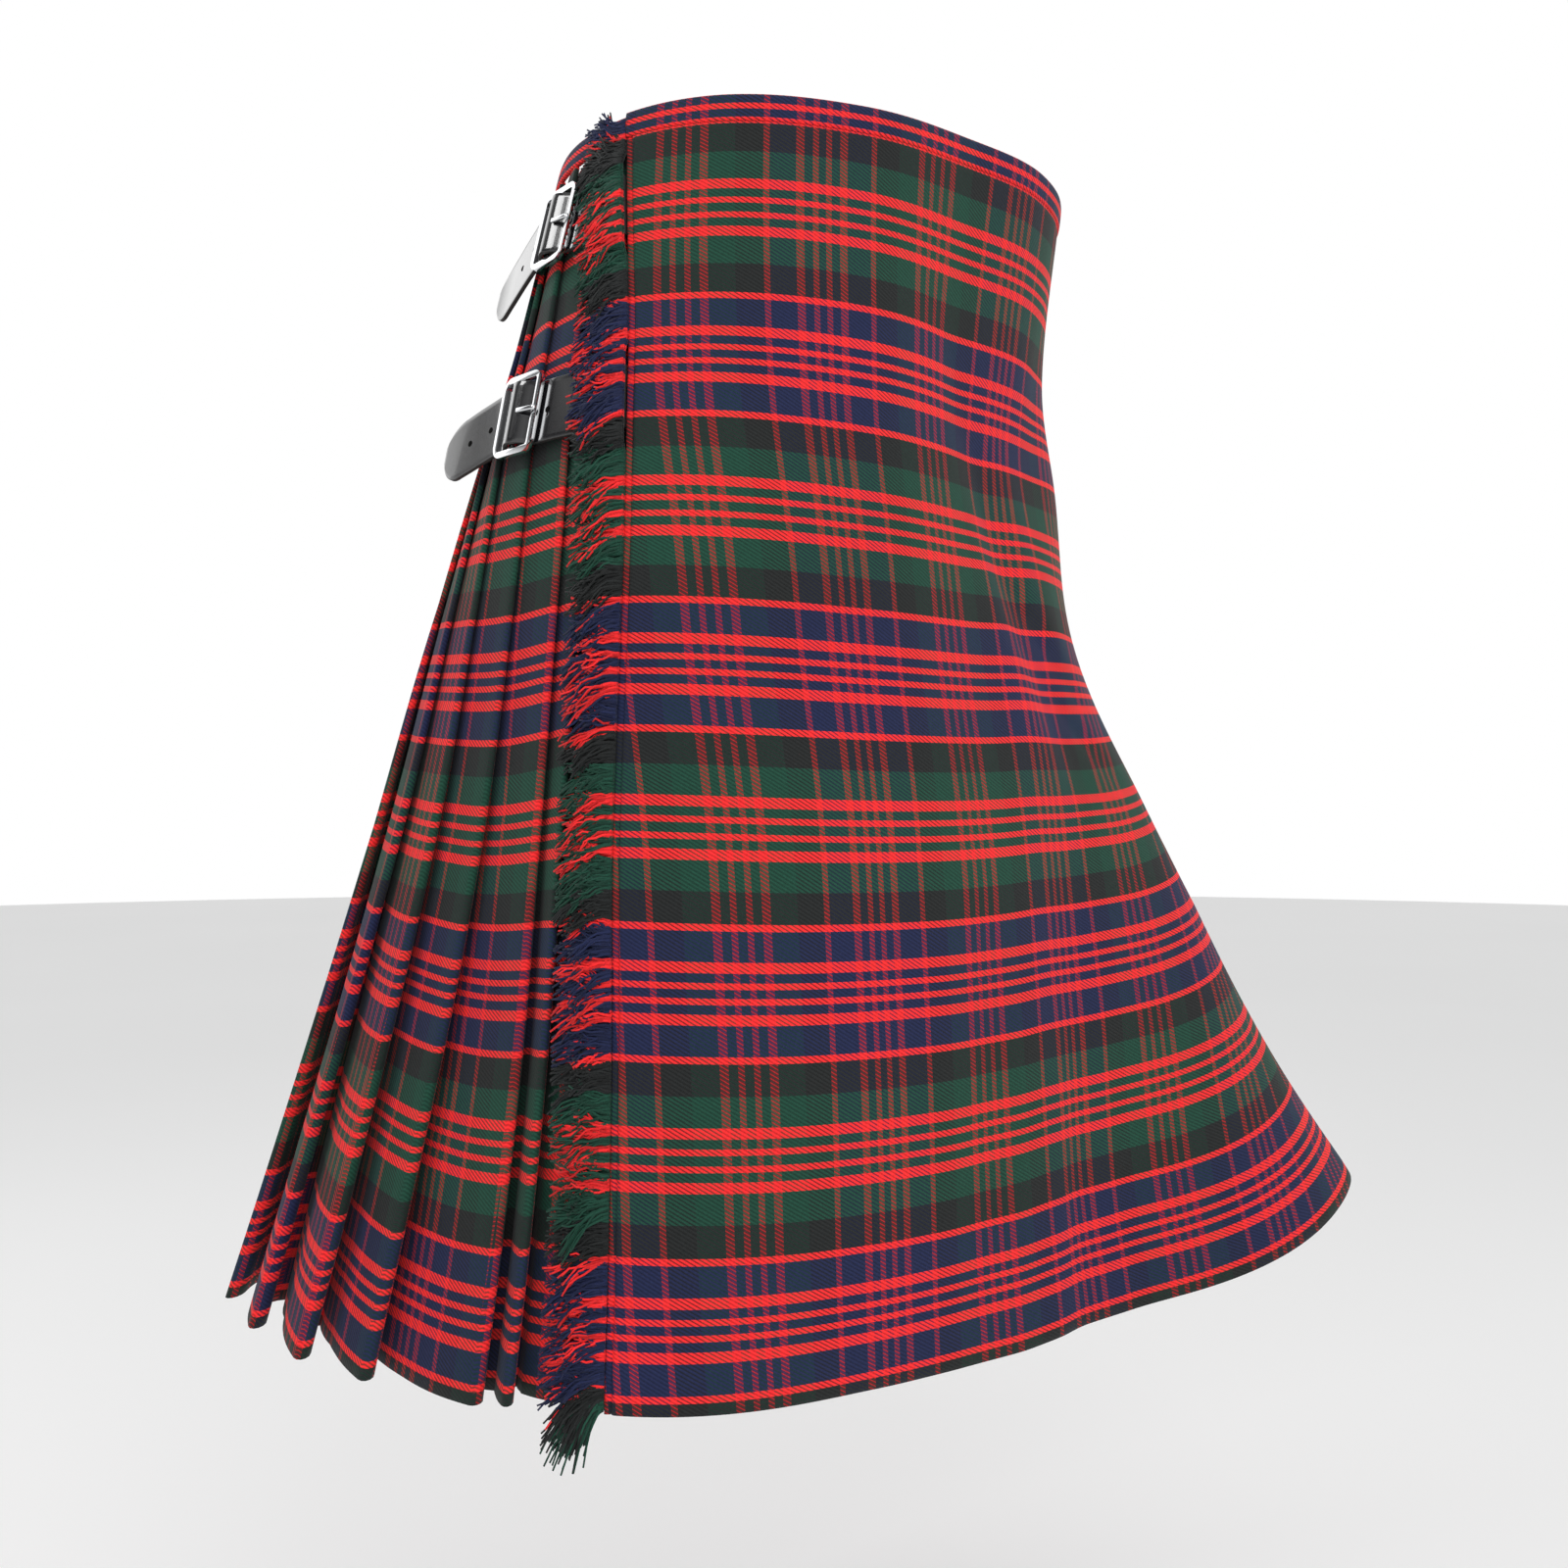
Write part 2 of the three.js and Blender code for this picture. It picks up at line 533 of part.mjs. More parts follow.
const CORNER_STEPS = 4;
function buckleFrame() {
  const outline = roundedOutline(BUCKLE_LENGTH, BUCKLE_HEIGHT, BUCKLE_CORNER, new THREE.Shape());
  const windowLength = (BUCKLE_LENGTH - 3 * BUCKLE_BAR) / 2;
  const windowHeight = BUCKLE_HEIGHT - 2 * BUCKLE_BAR;
  const away = (windowLength + BUCKLE_BAR) / 2;
  outline.holes = [-1, 1].map((side) => {
    const path = roundedOutline(windowLength, windowHeight, WINDOW_CORNER, new THREE.Path());
    const points = path.getPoints(CORNER_STEPS).map((p) => new THREE.Vector2(p.x + side * away, p.y));
    return new THREE.Path(points);
  });
  return new THREE.ExtrudeGeometry(outline, {
    depth: BUCKLE_THICK, bevelEnabled: false, curveSegments: 2 * CORNER_STEPS,
  }).translate(0, 0, BUCKLE_LEVEL);
}

// The prong stands through a hole in the strap and rests on the bar that the strap comes in under.
const PRONG_SIDE = [
  { back: 4.4, out: 6.3 },
  { back: 17.2, out: 4.8 },
  { back: 17.8, out: 5.6 },
  { back: 16.8, out: 6.6 },
  { back: 4.4, out: 8.1 },
];
function prongGeometry() {
  const side = new THREE.Shape(PRONG_SIDE.map(({ back, out }) => new THREE.Vector2(back, out)));
  return new THREE.ExtrudeGeometry(side, { depth: PRONG_WIDTH, bevelEnabled: false })
    .rotateX(Math.PI / 2).translate(0, PRONG_WIDTH / 2, 0);
}

STRAPS.forEach((strap) => {
  const frame = buckleMatrix(strap);
  add(`strap_${strap.name}`, strapGeometry(strap), patentLeather());
  add(`buckle_${strap.name}`, buckleFrame().applyMatrix4(frame), chrome());
  add(`prong_${strap.name}`, prongGeometry().applyMatrix4(frame), chrome());
  const chape = new THREE.BoxGeometry(CHAPE_LENGTH, CHAPE_WIDTH, CHAPE_THICK)
    .translate(0, 0, CHAPE_LEVEL).applyMatrix4(frame);
  add(`chape_${strap.name}`, chape, patentLeather());
});

export default group;
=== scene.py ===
# %% [markdown]
# # A Scottish kilt
# A kilt is one long length of tartan wool. Two flat ends, the aprons, cross over in front, and the rest is
# folded into knife pleats round the back. We rebuild it the same way: one worn surface, and every piece of
# cloth laid out on it by two numbers, how far round and how far down.

# %% Load the frame
import math

import bmesh
import bpy
import numpy as np
from mathutils import Matrix, Vector


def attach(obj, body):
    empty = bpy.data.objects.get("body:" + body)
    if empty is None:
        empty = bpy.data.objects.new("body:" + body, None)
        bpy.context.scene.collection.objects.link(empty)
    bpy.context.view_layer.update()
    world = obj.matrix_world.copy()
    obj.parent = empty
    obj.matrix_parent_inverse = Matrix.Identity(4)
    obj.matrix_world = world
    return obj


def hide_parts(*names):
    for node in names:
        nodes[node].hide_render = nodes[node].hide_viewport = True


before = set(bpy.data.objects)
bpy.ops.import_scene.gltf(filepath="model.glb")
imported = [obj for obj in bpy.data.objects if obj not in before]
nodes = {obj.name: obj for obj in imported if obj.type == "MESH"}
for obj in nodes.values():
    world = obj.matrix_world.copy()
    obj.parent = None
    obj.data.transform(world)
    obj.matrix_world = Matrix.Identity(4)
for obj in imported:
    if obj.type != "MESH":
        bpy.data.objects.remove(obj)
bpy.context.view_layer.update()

# %% [markdown]
# ## The worn surface
# A maker measures a body as girths at stated heights. This table does the same: a row for each distance down
# the cloth, and the radius at every 30 degrees from the middle of the front towards the wearer's right. The
# wearer is caught in mid stride, so the hem reaches out over the left thigh in front, and over the right calf
# behind.

# %% Sizes, in metres
MM = 0.001
BAND_HEIGHT = 13 * MM
CLOTH_TOP = 13.3 * MM
HEM_DROP = 612 * MM
FELL_DROP = 235 * MM
BACK_DIP, BACK_DIP_DROP = 8, 350  # the pleated back hangs this much lower, whole from this drop, in mm
BACK_FROM, BACK_FROM_BLEND = 97, 25  # where the back begins, and its blend, in degrees
BACK_TO, BACK_TO_BLEND = 265, 40  # and where it ends
LEAST_FALL = 0.1  # square of the least share of its length that flaring cloth sinks
SWING_CURVE = 1.2  # the free pleats swing out more and more towards the hem
LEFT_SEAM_ANGLE = 272
UNDER_APRON_END = 300
APRON_TUCK = 12 * MM
PLEAT_OVERHANG = 2 * MM
PLEAT_FLOOR = -7.2 * MM
PLEAT_SINK = 5 * MM
UNDER_APRON_LEVEL = -3.2 * MM
BAND_LEVEL = {"over": 0.3 * MM, "back": -3.2 * MM}
SEAM_RUN = 45 * MM
SEAM_GAP = 0.3 * MM

SECTION_ANGLE = 30
SECTIONS = [
    # drop: front, then every 30 degrees round by the right, the back and the left, in mm
    (0, (132, 122, 134, 152, 151, 142, 134, 138, 150, 156, 150, 146)),
    (100, (121, 117, 143, 169, 176, 166, 158, 160, 170, 172, 156, 137)),
    (160, (118, 118, 148, 182, 191, 185, 173, 173, 181, 184, 164, 145)),
    (250, (136, 129, 157, 196, 203, 213, 195, 191, 194, 194, 180, 156)),
    (350, (151, 143, 167, 207, 212, 240, 219, 211, 208, 200, 212, 199)),
    (450, (162, 151, 170, 211, 224, 266, 243, 229, 219, 204, 248, 246)),
    (540, (170, 156, 172, 217, 240, 290, 263, 244, 229, 210, 275, 292)),
    (612, (184, 158, 170, 224, 256, 310, 279, 255, 234, 214, 292, 333)),
]
FOLDS = [
    # the largest soft folds: angles, drops, half width in degrees, depth in mm
    {"angles": (24, -8), "drops": (140, 350), "spread": 9, "depth": -7},
    {"angles": (-6, 6), "drops": (330, 640), "spread": 7, "depth": 4},
    {"angles": (318, 300), "drops": (200, 560), "spread": 12, "depth": -6},
    {"angles": (34, 40), "drops": (380, 660), "spread": 10, "depth": -4},
    {"angles": (190, 182), "drops": (260, 640), "spread": 16, "depth": -9},
]
CREASES = [
    # the finer creases of the aprons, which the solid is too plain to hold
    {"angles": (12, -14), "drops": (215, 300), "spread": 4, "depth": -2.2},
    {"angles": (4, -20), "drops": (262, 345), "spread": 3, "depth": -1.6},
    {"angles": (40, 18), "drops": (70, 190), "spread": 8, "depth": -1.5},
    {"angles": (56, 50), "drops": (300, 660), "spread": 6, "depth": -1.6},
    {"angles": (74, 72), "drops": (240, 600), "spread": 7, "depth": 1.3},
    {"angles": (12, 20), "drops": (440, 680), "spread": 5, "depth": 2.4},
    {"angles": (330, 338), "drops": (420, 680), "spread": 6, "depth": -2.6},
    {"angles": (345, 350), "drops": (60, 200), "spread": 7, "depth": -1.4},
    {"angles": (288, 292), "drops": (180, 420), "spread": 6, "depth": -1.7},
]
FRINGED_EDGE = [(0, 106.5), (100, 100.5), (160, 98), (250, 96.3), (400, 95.5), (612, 94)]


# %% A smooth line through a table
def down_table(places, values, at):
    """A cubic through the rows of a table, whose slope at each row is that of its neighbours."""
    places, values = np.asarray(places, float), np.asarray(values, float)
    at = np.clip(at, places[0], places[-1])
    k = np.clip(np.searchsorted(places, at, side="right") - 1, 0, len(places) - 2)
    last = len(places) - 1

    def slope(i):
        low, high = np.maximum(0, i - 1), np.minimum(last, i + 1)
        run = (places[high] - places[low]).reshape(np.shape(i) + (1,) * (values.ndim - 1))
        return (values[high] - values[low]) / run

    more = (1,) * (values.ndim - 1)
    span = (places[k + 1] - places[k]).reshape(np.shape(k) + more)
    t = ((at - places[k]) / (places[k + 1] - places[k])).reshape(np.shape(k) + more)
    return (
        (2 * t**3 - 3 * t**2 + 1) * values[k]
        + (t**3 - 2 * t**2 + t) * span * slope(k)
        + (3 * t**2 - 2 * t**3) * values[k + 1]
        + (t**3 - t**2) * span * slope(k + 1)
    )


def smooth(t):
    t = np.clip(t, 0, 1)
    return t * t * (3 - 2 * t)


def fold_depth(folds, angle, drop_mm):
    depth = np.zeros(np.broadcast(angle, drop_mm).shape)
    for fold in folds:
        t = (drop_mm - fold["drops"][0]) / (fold["drops"][1] - fold["drops"][0])
        middle = fold["angles"][0] + (fold["angles"][1] - fold["angles"][0]) * t
        away = ((angle - middle + 180) % 360 - 180) / fold["spread"]
        inside = (t > 0) & (t < 1)
        depth += inside * fold["depth"] * np.sin(np.pi * np.clip(t, 0, 1)) * np.exp(-away * away)
    return depth


# %% The surface itself
ANGLE_STEP = 1.0
ROWS_DOWN = 205
surface_angles = np.arange(0, 360, ANGLE_STEP)
surface_drops = np.linspace(0, SECTIONS[-1][0], ROWS_DOWN)


def around(radii):
    """The radii of one section at every surface angle: a cubic through its twelve columns."""
    place = surface_angles / SECTION_ANGLE
    at = np.floor(place).astype(int)
    t = place - at
    a, b, c, d = (np.take(radii, (at + k) % len(radii)) for k in (-1, 0, 1, 2))
    return b + 0.5 * t * (c - a + t * (2 * a - 5 * b + 4 * c - d + t * (3 * (b - c) + d - a)))


ring = np.array([around(np.array(radii, float)) for _, radii in SECTIONS])
radius = down_table([drop for drop, _ in SECTIONS], ring, surface_drops)
radius += fold_depth(FOLDS, surface_angles[None, :], surface_drops[:, None])
flare = np.diff(radius, axis=0)
step_down = np.diff(surface_drops)[:, None]
fall = np.sqrt(np.maximum(LEAST_FALL * step_down**2, step_down**2 - flare**2))
sink = np.vstack([np.zeros(len(surface_angles)), np.cumsum(fall, axis=0)])
across_back = smooth((surface_angles - BACK_FROM) / BACK_FROM_BLEND)
across_back *= smooth((BACK_TO - surface_angles) / BACK_TO_BLEND)
dip = BACK_DIP * across_back[None, :] * np.clip(surface_drops / BACK_DIP_DROP, 0, 1)[:, None]
turn = np.radians(surface_angles)
surface = MM * np.stack([-radius * np.sin(turn), -radius * np.cos(turn), -sink - dip], axis=-1)
hops = np.linalg.norm(np.roll(surface, -1, axis=1) - surface, axis=2)
along_rows = np.hstack([np.zeros((ROWS_DOWN, 1)), np.cumsum(hops, axis=1)])
print("round the waist and the hem, mm:", along_rows[0, -1] * 1000, along_rows[-1, -1] * 1000)


def row_of(drop):
    place = np.clip(np.asarray(drop, float) / HEM_DROP * (ROWS_DOWN - 1), 0, ROWS_DOWN - 1 - 1e-9)
    row = place.astype(int)
    return row, place - row


def total_at(drop):
    row, t = row_of(drop)
    return along_rows[row, -1] * (1 - t) + along_rows[row + 1, -1] * t


def along_at(angle, drop):
    """The distance round the cloth from the middle of the front to an angle, at a drop."""
    row, t = row_of(drop)
    place = (np.asarray(angle, float) % 360) / ANGLE_STEP
    j = place.astype(int)
    f = place - j

    def on(r):
        return along_rows[r, j] * (1 - f) + along_rows[r, j + 1] * f

    return on(row) * (1 - t) + on(row + 1) * t


def place(along, drop, out):
    """Points on the worn cloth, as an array, with each lifted by `out` along the level normal."""
    along, drop, out = np.broadcast_arrays(*(np.asarray(v, float) for v in (along, drop, out)))
    row, t = row_of(drop)
    count = len(surface_angles)
    blended = along_rows[row] * (1 - t)[..., None] + along_rows[row + 1] * t[..., None]
    wrapped = along % blended[..., -1]
    j = np.clip((blended <= wrapped[..., None]).sum(-1) - 1, 0, count - 1)
    start = np.take_along_axis(blended, j[..., None], -1)[..., 0]
    end = np.take_along_axis(blended, j[..., None] + 1, -1)[..., 0]
    f = ((wrapped - start) / (end - start))[..., None]
    w = t[..., None]

    def pick(k):
        column = (j + k) % count
        return surface[row, column] * (1 - w) + surface[row + 1, column] * w

    run = (pick(1) - pick(-1)) * (1 - f) + (pick(2) - pick(0)) * f
    outward = np.stack([-run[..., 1], run[..., 0], np.zeros_like(out)], axis=-1)
    outward /= np.linalg.norm(outward, axis=-1, keepdims=True)
    return pick(0) * (1 - f) + pick(1) * f + outward * out[..., None]


def fringed_edge(drop):
    angles = down_table(*zip(*FRINGED_EDGE), np.asarray(drop, float) / MM)
    return along_at(angles, drop)


def left_seam(drop):
    return along_at(LEFT_SEAM_ANGLE, drop)


def swing_at(drop):
    return np.clip((drop - FELL_DROP) / (HEM_DROP - FELL_DROP), 0, 1) ** SWING_CURVE


def near_seam(along, drop):
    """1 at the left seam, where the over apron sinks to meet the pleats, falling to 0 in front of it."""
    total = total_at(drop)
    wrapped = along % total
    past = (wrapped - left_seam(drop)) / SEAM_RUN
    return np.where(wrapped > total / 2, 1 - smooth(past), 0)


# %% [markdown]
# ## Sheets of cloth
# Each sheet starts as a flat grid, and every crossing of the grid is then carried to its place on the worn
# surface. The grid keeps a UV map in real metres, measured along the threads, so the check follows the cloth
# over every fold, as woven threads do. Solidify gives the sheet its thickness last.

# %% Lay a grid on the surface
def scene_object(name, mesh):
    made = bpy.data.objects.new(name, mesh)
    bpy.context.scene.collection.objects.link(made)
    return made


def cloth_sheet(name, columns, rows, lay, thickness, material):
    """lay(a, b) takes shares of the way round and down, and returns points and thread coordinates."""
    bm = bmesh.new()
    bmesh.ops.create_grid(bm, x_segments=columns, y_segments=rows, size=0.5)
    bm.verts.ensure_lookup_table()
    flat = np.array([v.co[:2] for v in bm.verts])
    a = np.round((0.5 - flat[:, 0]) * columns).astype(int)
    b = np.round((0.5 - flat[:, 1]) * rows).astype(int)
    points, threads = lay(a, b)
    uv = bm.loops.layers.uv.new("cloth")
    for vert, point in zip(bm.verts, points):
        vert.co = point
    for face in bm.faces:
        face.smooth = True
        for loop in face.loops:
            loop[uv].uv = threads[loop.vert.index]
    mesh = bpy.data.meshes.new(name)
    bm.to_mesh(mesh)
    area = sum(f.calc_area() for f in bm.faces)
    bm.free()
    sheet = scene_object(name, mesh)
    wall = sheet.modifiers.new("thickness", "SOLIDIFY")
    wall.thickness = thickness
    wall.offset = 0
    mesh.materials.append(material)
    print(name, "faces", len(mesh.polygons), "area m2", round(area, 4))
    return sheet, area


# %% [markdown]
# ## Threads, as shader maths
# A tartan is one chart of stripes, read once across the threads that run down the cloth and once along the
# threads that cross them. We write the chart as thread counts, turn it into a colour ramp with hard
# steps, and let a twill mask choose which of the two threads lies on top.

# %% A small language for shader nodes
class Value:
    """A socket whose arithmetic adds Math nodes."""

    def __init__(self, maker, socket):
        self.maker, self.socket = maker, socket

    def maths(self, operation, *others):
        return self.maker.node("ShaderNodeMath", {"operation": operation}, (self, *others))[0]

    def __add__(self, other):
        return self.maths("ADD", other)

    def __sub__(self, other):
        return self.maths("SUBTRACT", other)

    def __rsub__(self, other):
        return self.maker.node("ShaderNodeMath", {"operation": "SUBTRACT"}, (other, self))[0]

    def __mul__(self, other):
        return self.maths("MULTIPLY", other)

    def __truediv__(self, other):
        return self.maths("DIVIDE", other)

    __radd__ = __add__
    __rmul__ = __mul__


class Maker:
    """A node tree, and a method that adds any node to it."""

    def __init__(self, tree):
        self.tree = tree

    def node(self, kind, settings=None, inputs=()):
        made = self.tree.nodes.new(kind)
        for key, value in (settings or {}).items():
            if key == "stops":
                self.fill_ramp(made.color_ramp, value)
            else:
                setattr(made, key, value)
        pairs = inputs.items() if isinstance(inputs, dict) else enumerate(inputs)
        for key, value in pairs:
            self.join(value, made.inputs[key])
        return [Value(self, out) for out in made.outputs]

    def join(self, value, socket):
        if isinstance(value, Value):
            self.tree.links.new(value.socket, socket)
        else:
            socket.default_value = value

    @staticmethod
    def fill_ramp(ramp, stops, kind="CONSTANT"):
        ramp.interpolation = kind
        while len(ramp.elements) > 1:
            ramp.elements.remove(ramp.elements[-1])
        for k, (position, colour) in enumerate(stops):
            element = ramp.elements[0] if k == 0 else ramp.elements.new(position)
            element.position = position
            element.color = colour


class Finish(Maker):
    """One material, with its Principled shader."""

    def __init__(self, name, **shader):
        self.material = bpy.data.materials.new(name)
        self.material.use_nodes = True
        super().__init__(self.material.node_tree)
        self.shader = self.tree.nodes["Principled BSDF"]
        for socket, value in shader.items():
            self.shader.inputs[socket.replace("_", " ")].default_value = value

    def mix(self, factor, first, second, blend="MIX"):
        kind = {"data_type": "RGBA", "blend_type": blend}
        return self.node("ShaderNodeMix", kind, {0: factor, 6: first, 7: second})[2]

    def feed(self, socket, value):
        self.join(value, self.shader.inputs[socket])

    def bump(self, height, distance, strength=1.0):
        sockets = {"Height": height, "Distance": distance, "Strength": strength}
        self.feed("Normal", self.node("ShaderNodeBump", None, sockets)[0])

    def threads(self):
        """The thread coordinates of the cloth, in mm: across the kilt and down it."""
        uv = self.node("ShaderNodeUVMap", {"uv_map": "cloth"})[0]
        x, y, _ = self.node("ShaderNodeSeparateXYZ", None, (uv,))
        return x * 1000, y * 1000

    def noise(self, scale, detail=2.0, vector=None, stretch=None):
        vector = vector or self.node("ShaderNodeTexCoord")[3]
        if stretch:
            vector = self.node("ShaderNodeMapping", None, {"Vector": vector, "Scale": stretch})[0]
        return self.node("ShaderNodeTexNoise", None, {"Vector": vector, "Scale": scale, "Detail": detail})[0]


# %% The tartan chart
def paint(red, green, blue):
    """A linear colour from the 0 to 255 numbers of a dye card."""
    linear = [((v / 255 + 0.055) / 1.055) ** 2.4 if v > 10 else v / 255 / 12.92 for v in (red, green, blue)]
    return (*linear, 1.0)


DYES = {
    "R": paint(234, 42, 44),
    "G": paint(26, 66, 52),
    "K": paint(33, 35, 35),
    "B": paint(29, 36, 68),
}
# From the middle of one green line to the middle of the next blue line; the sett then runs back again.
WEFT_CHART = "G5 R6 G10 R11 G31 K32 R7 B31 R11 B10 R6 B5"
WARP_CHART = "G5 R7 G10 R10 G31 K32 R7 B31 R10 B10 R7 B5"
WEFT_PITCH = 0.4485  # mm of cloth for each thread of the chart, down the kilt
WARP_PITCH = 0.4158  # and across it
WEFT_GREEN_MIDDLE = 57.2  # mm below the top edge
HALF_SETT = 165


def ramp_of(chart):
    stops, at = [], 0
    for part in chart.split():
        stops.append((at / HALF_SETT, DYES[part[0]]))
        at += int(part[1:])
    assert at == HALF_SETT
    return stops


def stripes(finish, chart, position, pitch):
    """The colour of the thread at a position, in mm from the middle of a green line."""
    folded = (position / pitch).maths("PINGPONG", HALF_SETT) / HALF_SETT
    return finish.node("ShaderNodeValToRGB", {"stops": ramp_of(chart)}, (folded,))[0]


TWILL_ACROSS, TWILL_DOWN = 3.3, 1.97  # mm between twill ridges, across the kilt and down it
WARP_ON_TOP = 0.24  # share of the face where the threads that run down the cloth show
RIDGE_BLUR = 0.12  # how softly one thread gives way to the other, as a share of a ridge
FUZZ_SHADE, WEAR_SHADE = 0.6, 0.28  # how much the nap and the wear change its tone
# painted shade: the grooves between the twill ridges are painted darker, as if shade fell in them
GROOVE_PAINTED_SHADE = 0.72  # how much darker the cloth is between its ridges
MEAN_SHADE = 0.92  # its tone before these three


def tartan(name, weave=0.8, warp=WARP_ON_TOP):
    """The check in wool. weave is how sharply one thread covers the other, warp the share that run down."""
    finish = Finish(name, Specular_IOR_Level=0.22, Sheen_Weight=0.06, Sheen_Roughness=0.4)
    across, down = finish.threads()
    warp_colour = stripes(finish, WARP_CHART, across, WARP_PITCH)
    weft_colour = stripes(finish, WEFT_CHART, down - WEFT_GREEN_MIDDLE, WEFT_PITCH)
    ridge = (across / TWILL_ACROSS + down / TWILL_DOWN).maths("FRACT")
    from_middle = (ridge - 0.5).maths("ABSOLUTE")
    change = 0.5 - warp / 2
    on_top = finish.node("ShaderNodeMapRange", {"interpolation_type": "SMOOTHSTEP"},
                         (from_middle, change - RIDGE_BLUR, change + RIDGE_BLUR, 0.0, 1.0))[0]
    cloth = finish.mix(on_top * weave + warp * (1 - weave), weft_colour, warp_colour)
    fuzz = finish.noise(900.0, 3.0)
    wear = finish.noise(9.0, 3.0)
    # the nap and the wear vary the tone at random; the groove term is painted shade between the ridges
    tone = fuzz * FUZZ_SHADE + wear * WEAR_SHADE - from_middle * 2 * GROOVE_PAINTED_SHADE + MEAN_SHADE
    grey = finish.node("ShaderNodeCombineColor", None, (tone, tone, tone))[0]
    finish.feed("Base Color", finish.mix(1.0, cloth, grey, "MULTIPLY"))
    finish.feed("Roughness", wear * 0.1 + 0.8)
    finish.bump(on_top * 0.5 + fuzz * 0.5, 0.00022, 0.6)
    return finish.material


cloth_wool = tartan("tartan_wool")
fringe_wool = tartan("fringe_wool", weave=0.0, warp=0.0)
print("sett down and across, mm:", 2 * HALF_SETT * WEFT_PITCH, 2 * HALF_SETT * WARP_PITCH)


# %% Where the check lies on the aprons
APRON_GREEN_TOP = 223 * MM  # a green line runs down the apron here, measured round from the front
APRON_GREEN_FLARE = 16 * MM  # and this much further round at the hem: the cloth is pulled off the straight


def apron_thread(along, drop):
    return along - APRON_GREEN_TOP - APRON_GREEN_FLARE * drop / HEM_DROP


# %% [markdown]
# ## The over apron
# The over apron is a plain flat panel. It runs from the left hip, where it leaves the pleats, across the
# front to the fringed edge on the right hip. Its creases are soft troughs and ridges placed one by one: the
# deepest runs in from the groin to the raised left thigh.

# %% Over apron
def unwrapped_left_seam(drop):
    return left_seam(drop) - total_at(drop) + SEAM_GAP


def crease_at(along, drop):
    """The finer creases, found by angle."""
    near = place(along, drop, 0)
    angle = np.degrees(np.arctan2(-near[..., 0], -near[..., 1]))
    return MM * fold_depth(CREASES, angle, drop / MM)


APRON_COLUMNS, APRON_ROWS = 176, 150
EDGE_STRIP, EDGE_COLUMNS = 16 * MM, 24
RIPPLES_ACROSS, RIPPLES_DOWN, RIPPLE = 31, 9, 0.5 * MM  # faint waves: radians a metre, and height
HEM_ROLL, HEM_ROLL_HEIGHT = 0.4 * MM, 5 * MM  # the hem turns in by this much, over this height
# At the rolled edge: its step down, the groove of the stitching and its width, and the width of the step.
FOLD_DROP, STITCH_DEPTH, STITCH_WIDTH, ROLL_WIDTH = 0.7 * MM, 0.9 * MM, 0.9 * MM, 0.8 * MM
FOLD_FROM_EDGE = 3.2 * MM  # the edge is rolled over and stitched along this line
EDGE_LINE = 98.5 * WARP_PITCH * MM + FOLD_FROM_EDGE / 2  # and its fold is made on a red line of the check


def lay_over_apron(a, b):
    drop = CLOTH_TOP + (HEM_DROP - CLOTH_TOP) * b / APRON_ROWS
    start, end = unwrapped_left_seam(drop), fringed_edge(drop)
    plain = APRON_COLUMNS - EDGE_COLUMNS
    along = np.where(a < plain, start + (end - EDGE_STRIP - start) * a / plain,
                     end - EDGE_STRIP * (APRON_COLUMNS - a) / EDGE_COLUMNS)
    from_edge = end - along
    level = (PLEAT_FLOOR - PLEAT_SINK * swing_at(drop)) * near_seam(along, drop)
    level = level + crease_at(along, drop)
    level = level - FOLD_DROP * smooth((FOLD_FROM_EDGE + ROLL_WIDTH - from_edge) / ROLL_WIDTH)
    level = level - STITCH_DEPTH * np.exp(-((from_edge - FOLD_FROM_EDGE) / STITCH_WIDTH) ** 2)
    ripple = np.sin(along * RIPPLES_ACROSS + 2 * np.sin(drop * RIPPLES_DOWN))
    level = level + RIPPLE * ripple * np.clip(drop / HEM_DROP, 0, 1)
    hem_roll = np.exp(-((HEM_DROP - drop) / HEM_ROLL_HEIGHT) ** 2)
    points = place(along, drop, level - HEM_ROLL * hem_roll)
    rolled = np.where(from_edge < FOLD_FROM_EDGE, np.maximum(0, EDGE_LINE - apron_thread(end, drop)), 0)
    return points, np.stack([apron_thread(along, drop) + rolled, drop], axis=-1)


over_apron, over_area = cloth_sheet("over_apron_cloth", APRON_COLUMNS, APRON_ROWS, lay_over_apron,
                                    1.1 * MM, cloth_wool)


# %% [markdown]
# ## The under apron
# Beneath it lies its twin, which shows only from inside and at the hem. It starts where the pleats end on the
# right hip and stops short of the left seam.

# %% Under apron
UNDER_COLUMNS, UNDER_ROWS = 90, 80
UNDER_HEM = 608 * MM
UNDER_GAP = 0.9 * MM  # between its end and the first fold of the pleats
UNDER_CHECK = 70 * MM  # how far its check is shifted from the over apron's
UNDER_CREASES = 0.6  # it follows the creases this much


def lay_under_apron(a, b):
    drop = CLOTH_TOP + (UNDER_HEM - CLOTH_TOP) * b / UNDER_ROWS
    start = along_at(UNDER_APRON_END, drop) - total_at(drop)
    end = fringed_edge(drop) - APRON_TUCK - PLEAT_OVERHANG - UNDER_GAP
    along = start + (end - start) * a / UNDER_COLUMNS
    points = place(along, drop, UNDER_APRON_LEVEL + UNDER_CREASES * crease_at(along, drop))
    return points, np.stack([apron_thread(along, drop) + UNDER_CHECK, drop], axis=-1)


under_apron, under_area = cloth_sheet("under_apron_cloth", UNDER_COLUMNS, UNDER_ROWS, lay_under_apron,
                                      0.9 * MM, cloth_wool)

# %% [markdown]
# ## Knife pleats
# A knife pleat is a flat face, a sharp fold, and cloth doubled back beneath the next face. The pleats are
# stitched flat down to the fell, just below the hips, and swing free under it. We walk along the folded cloth
# at every height: along a face, round the crease beneath the next one, back, and round the nose of its fold.

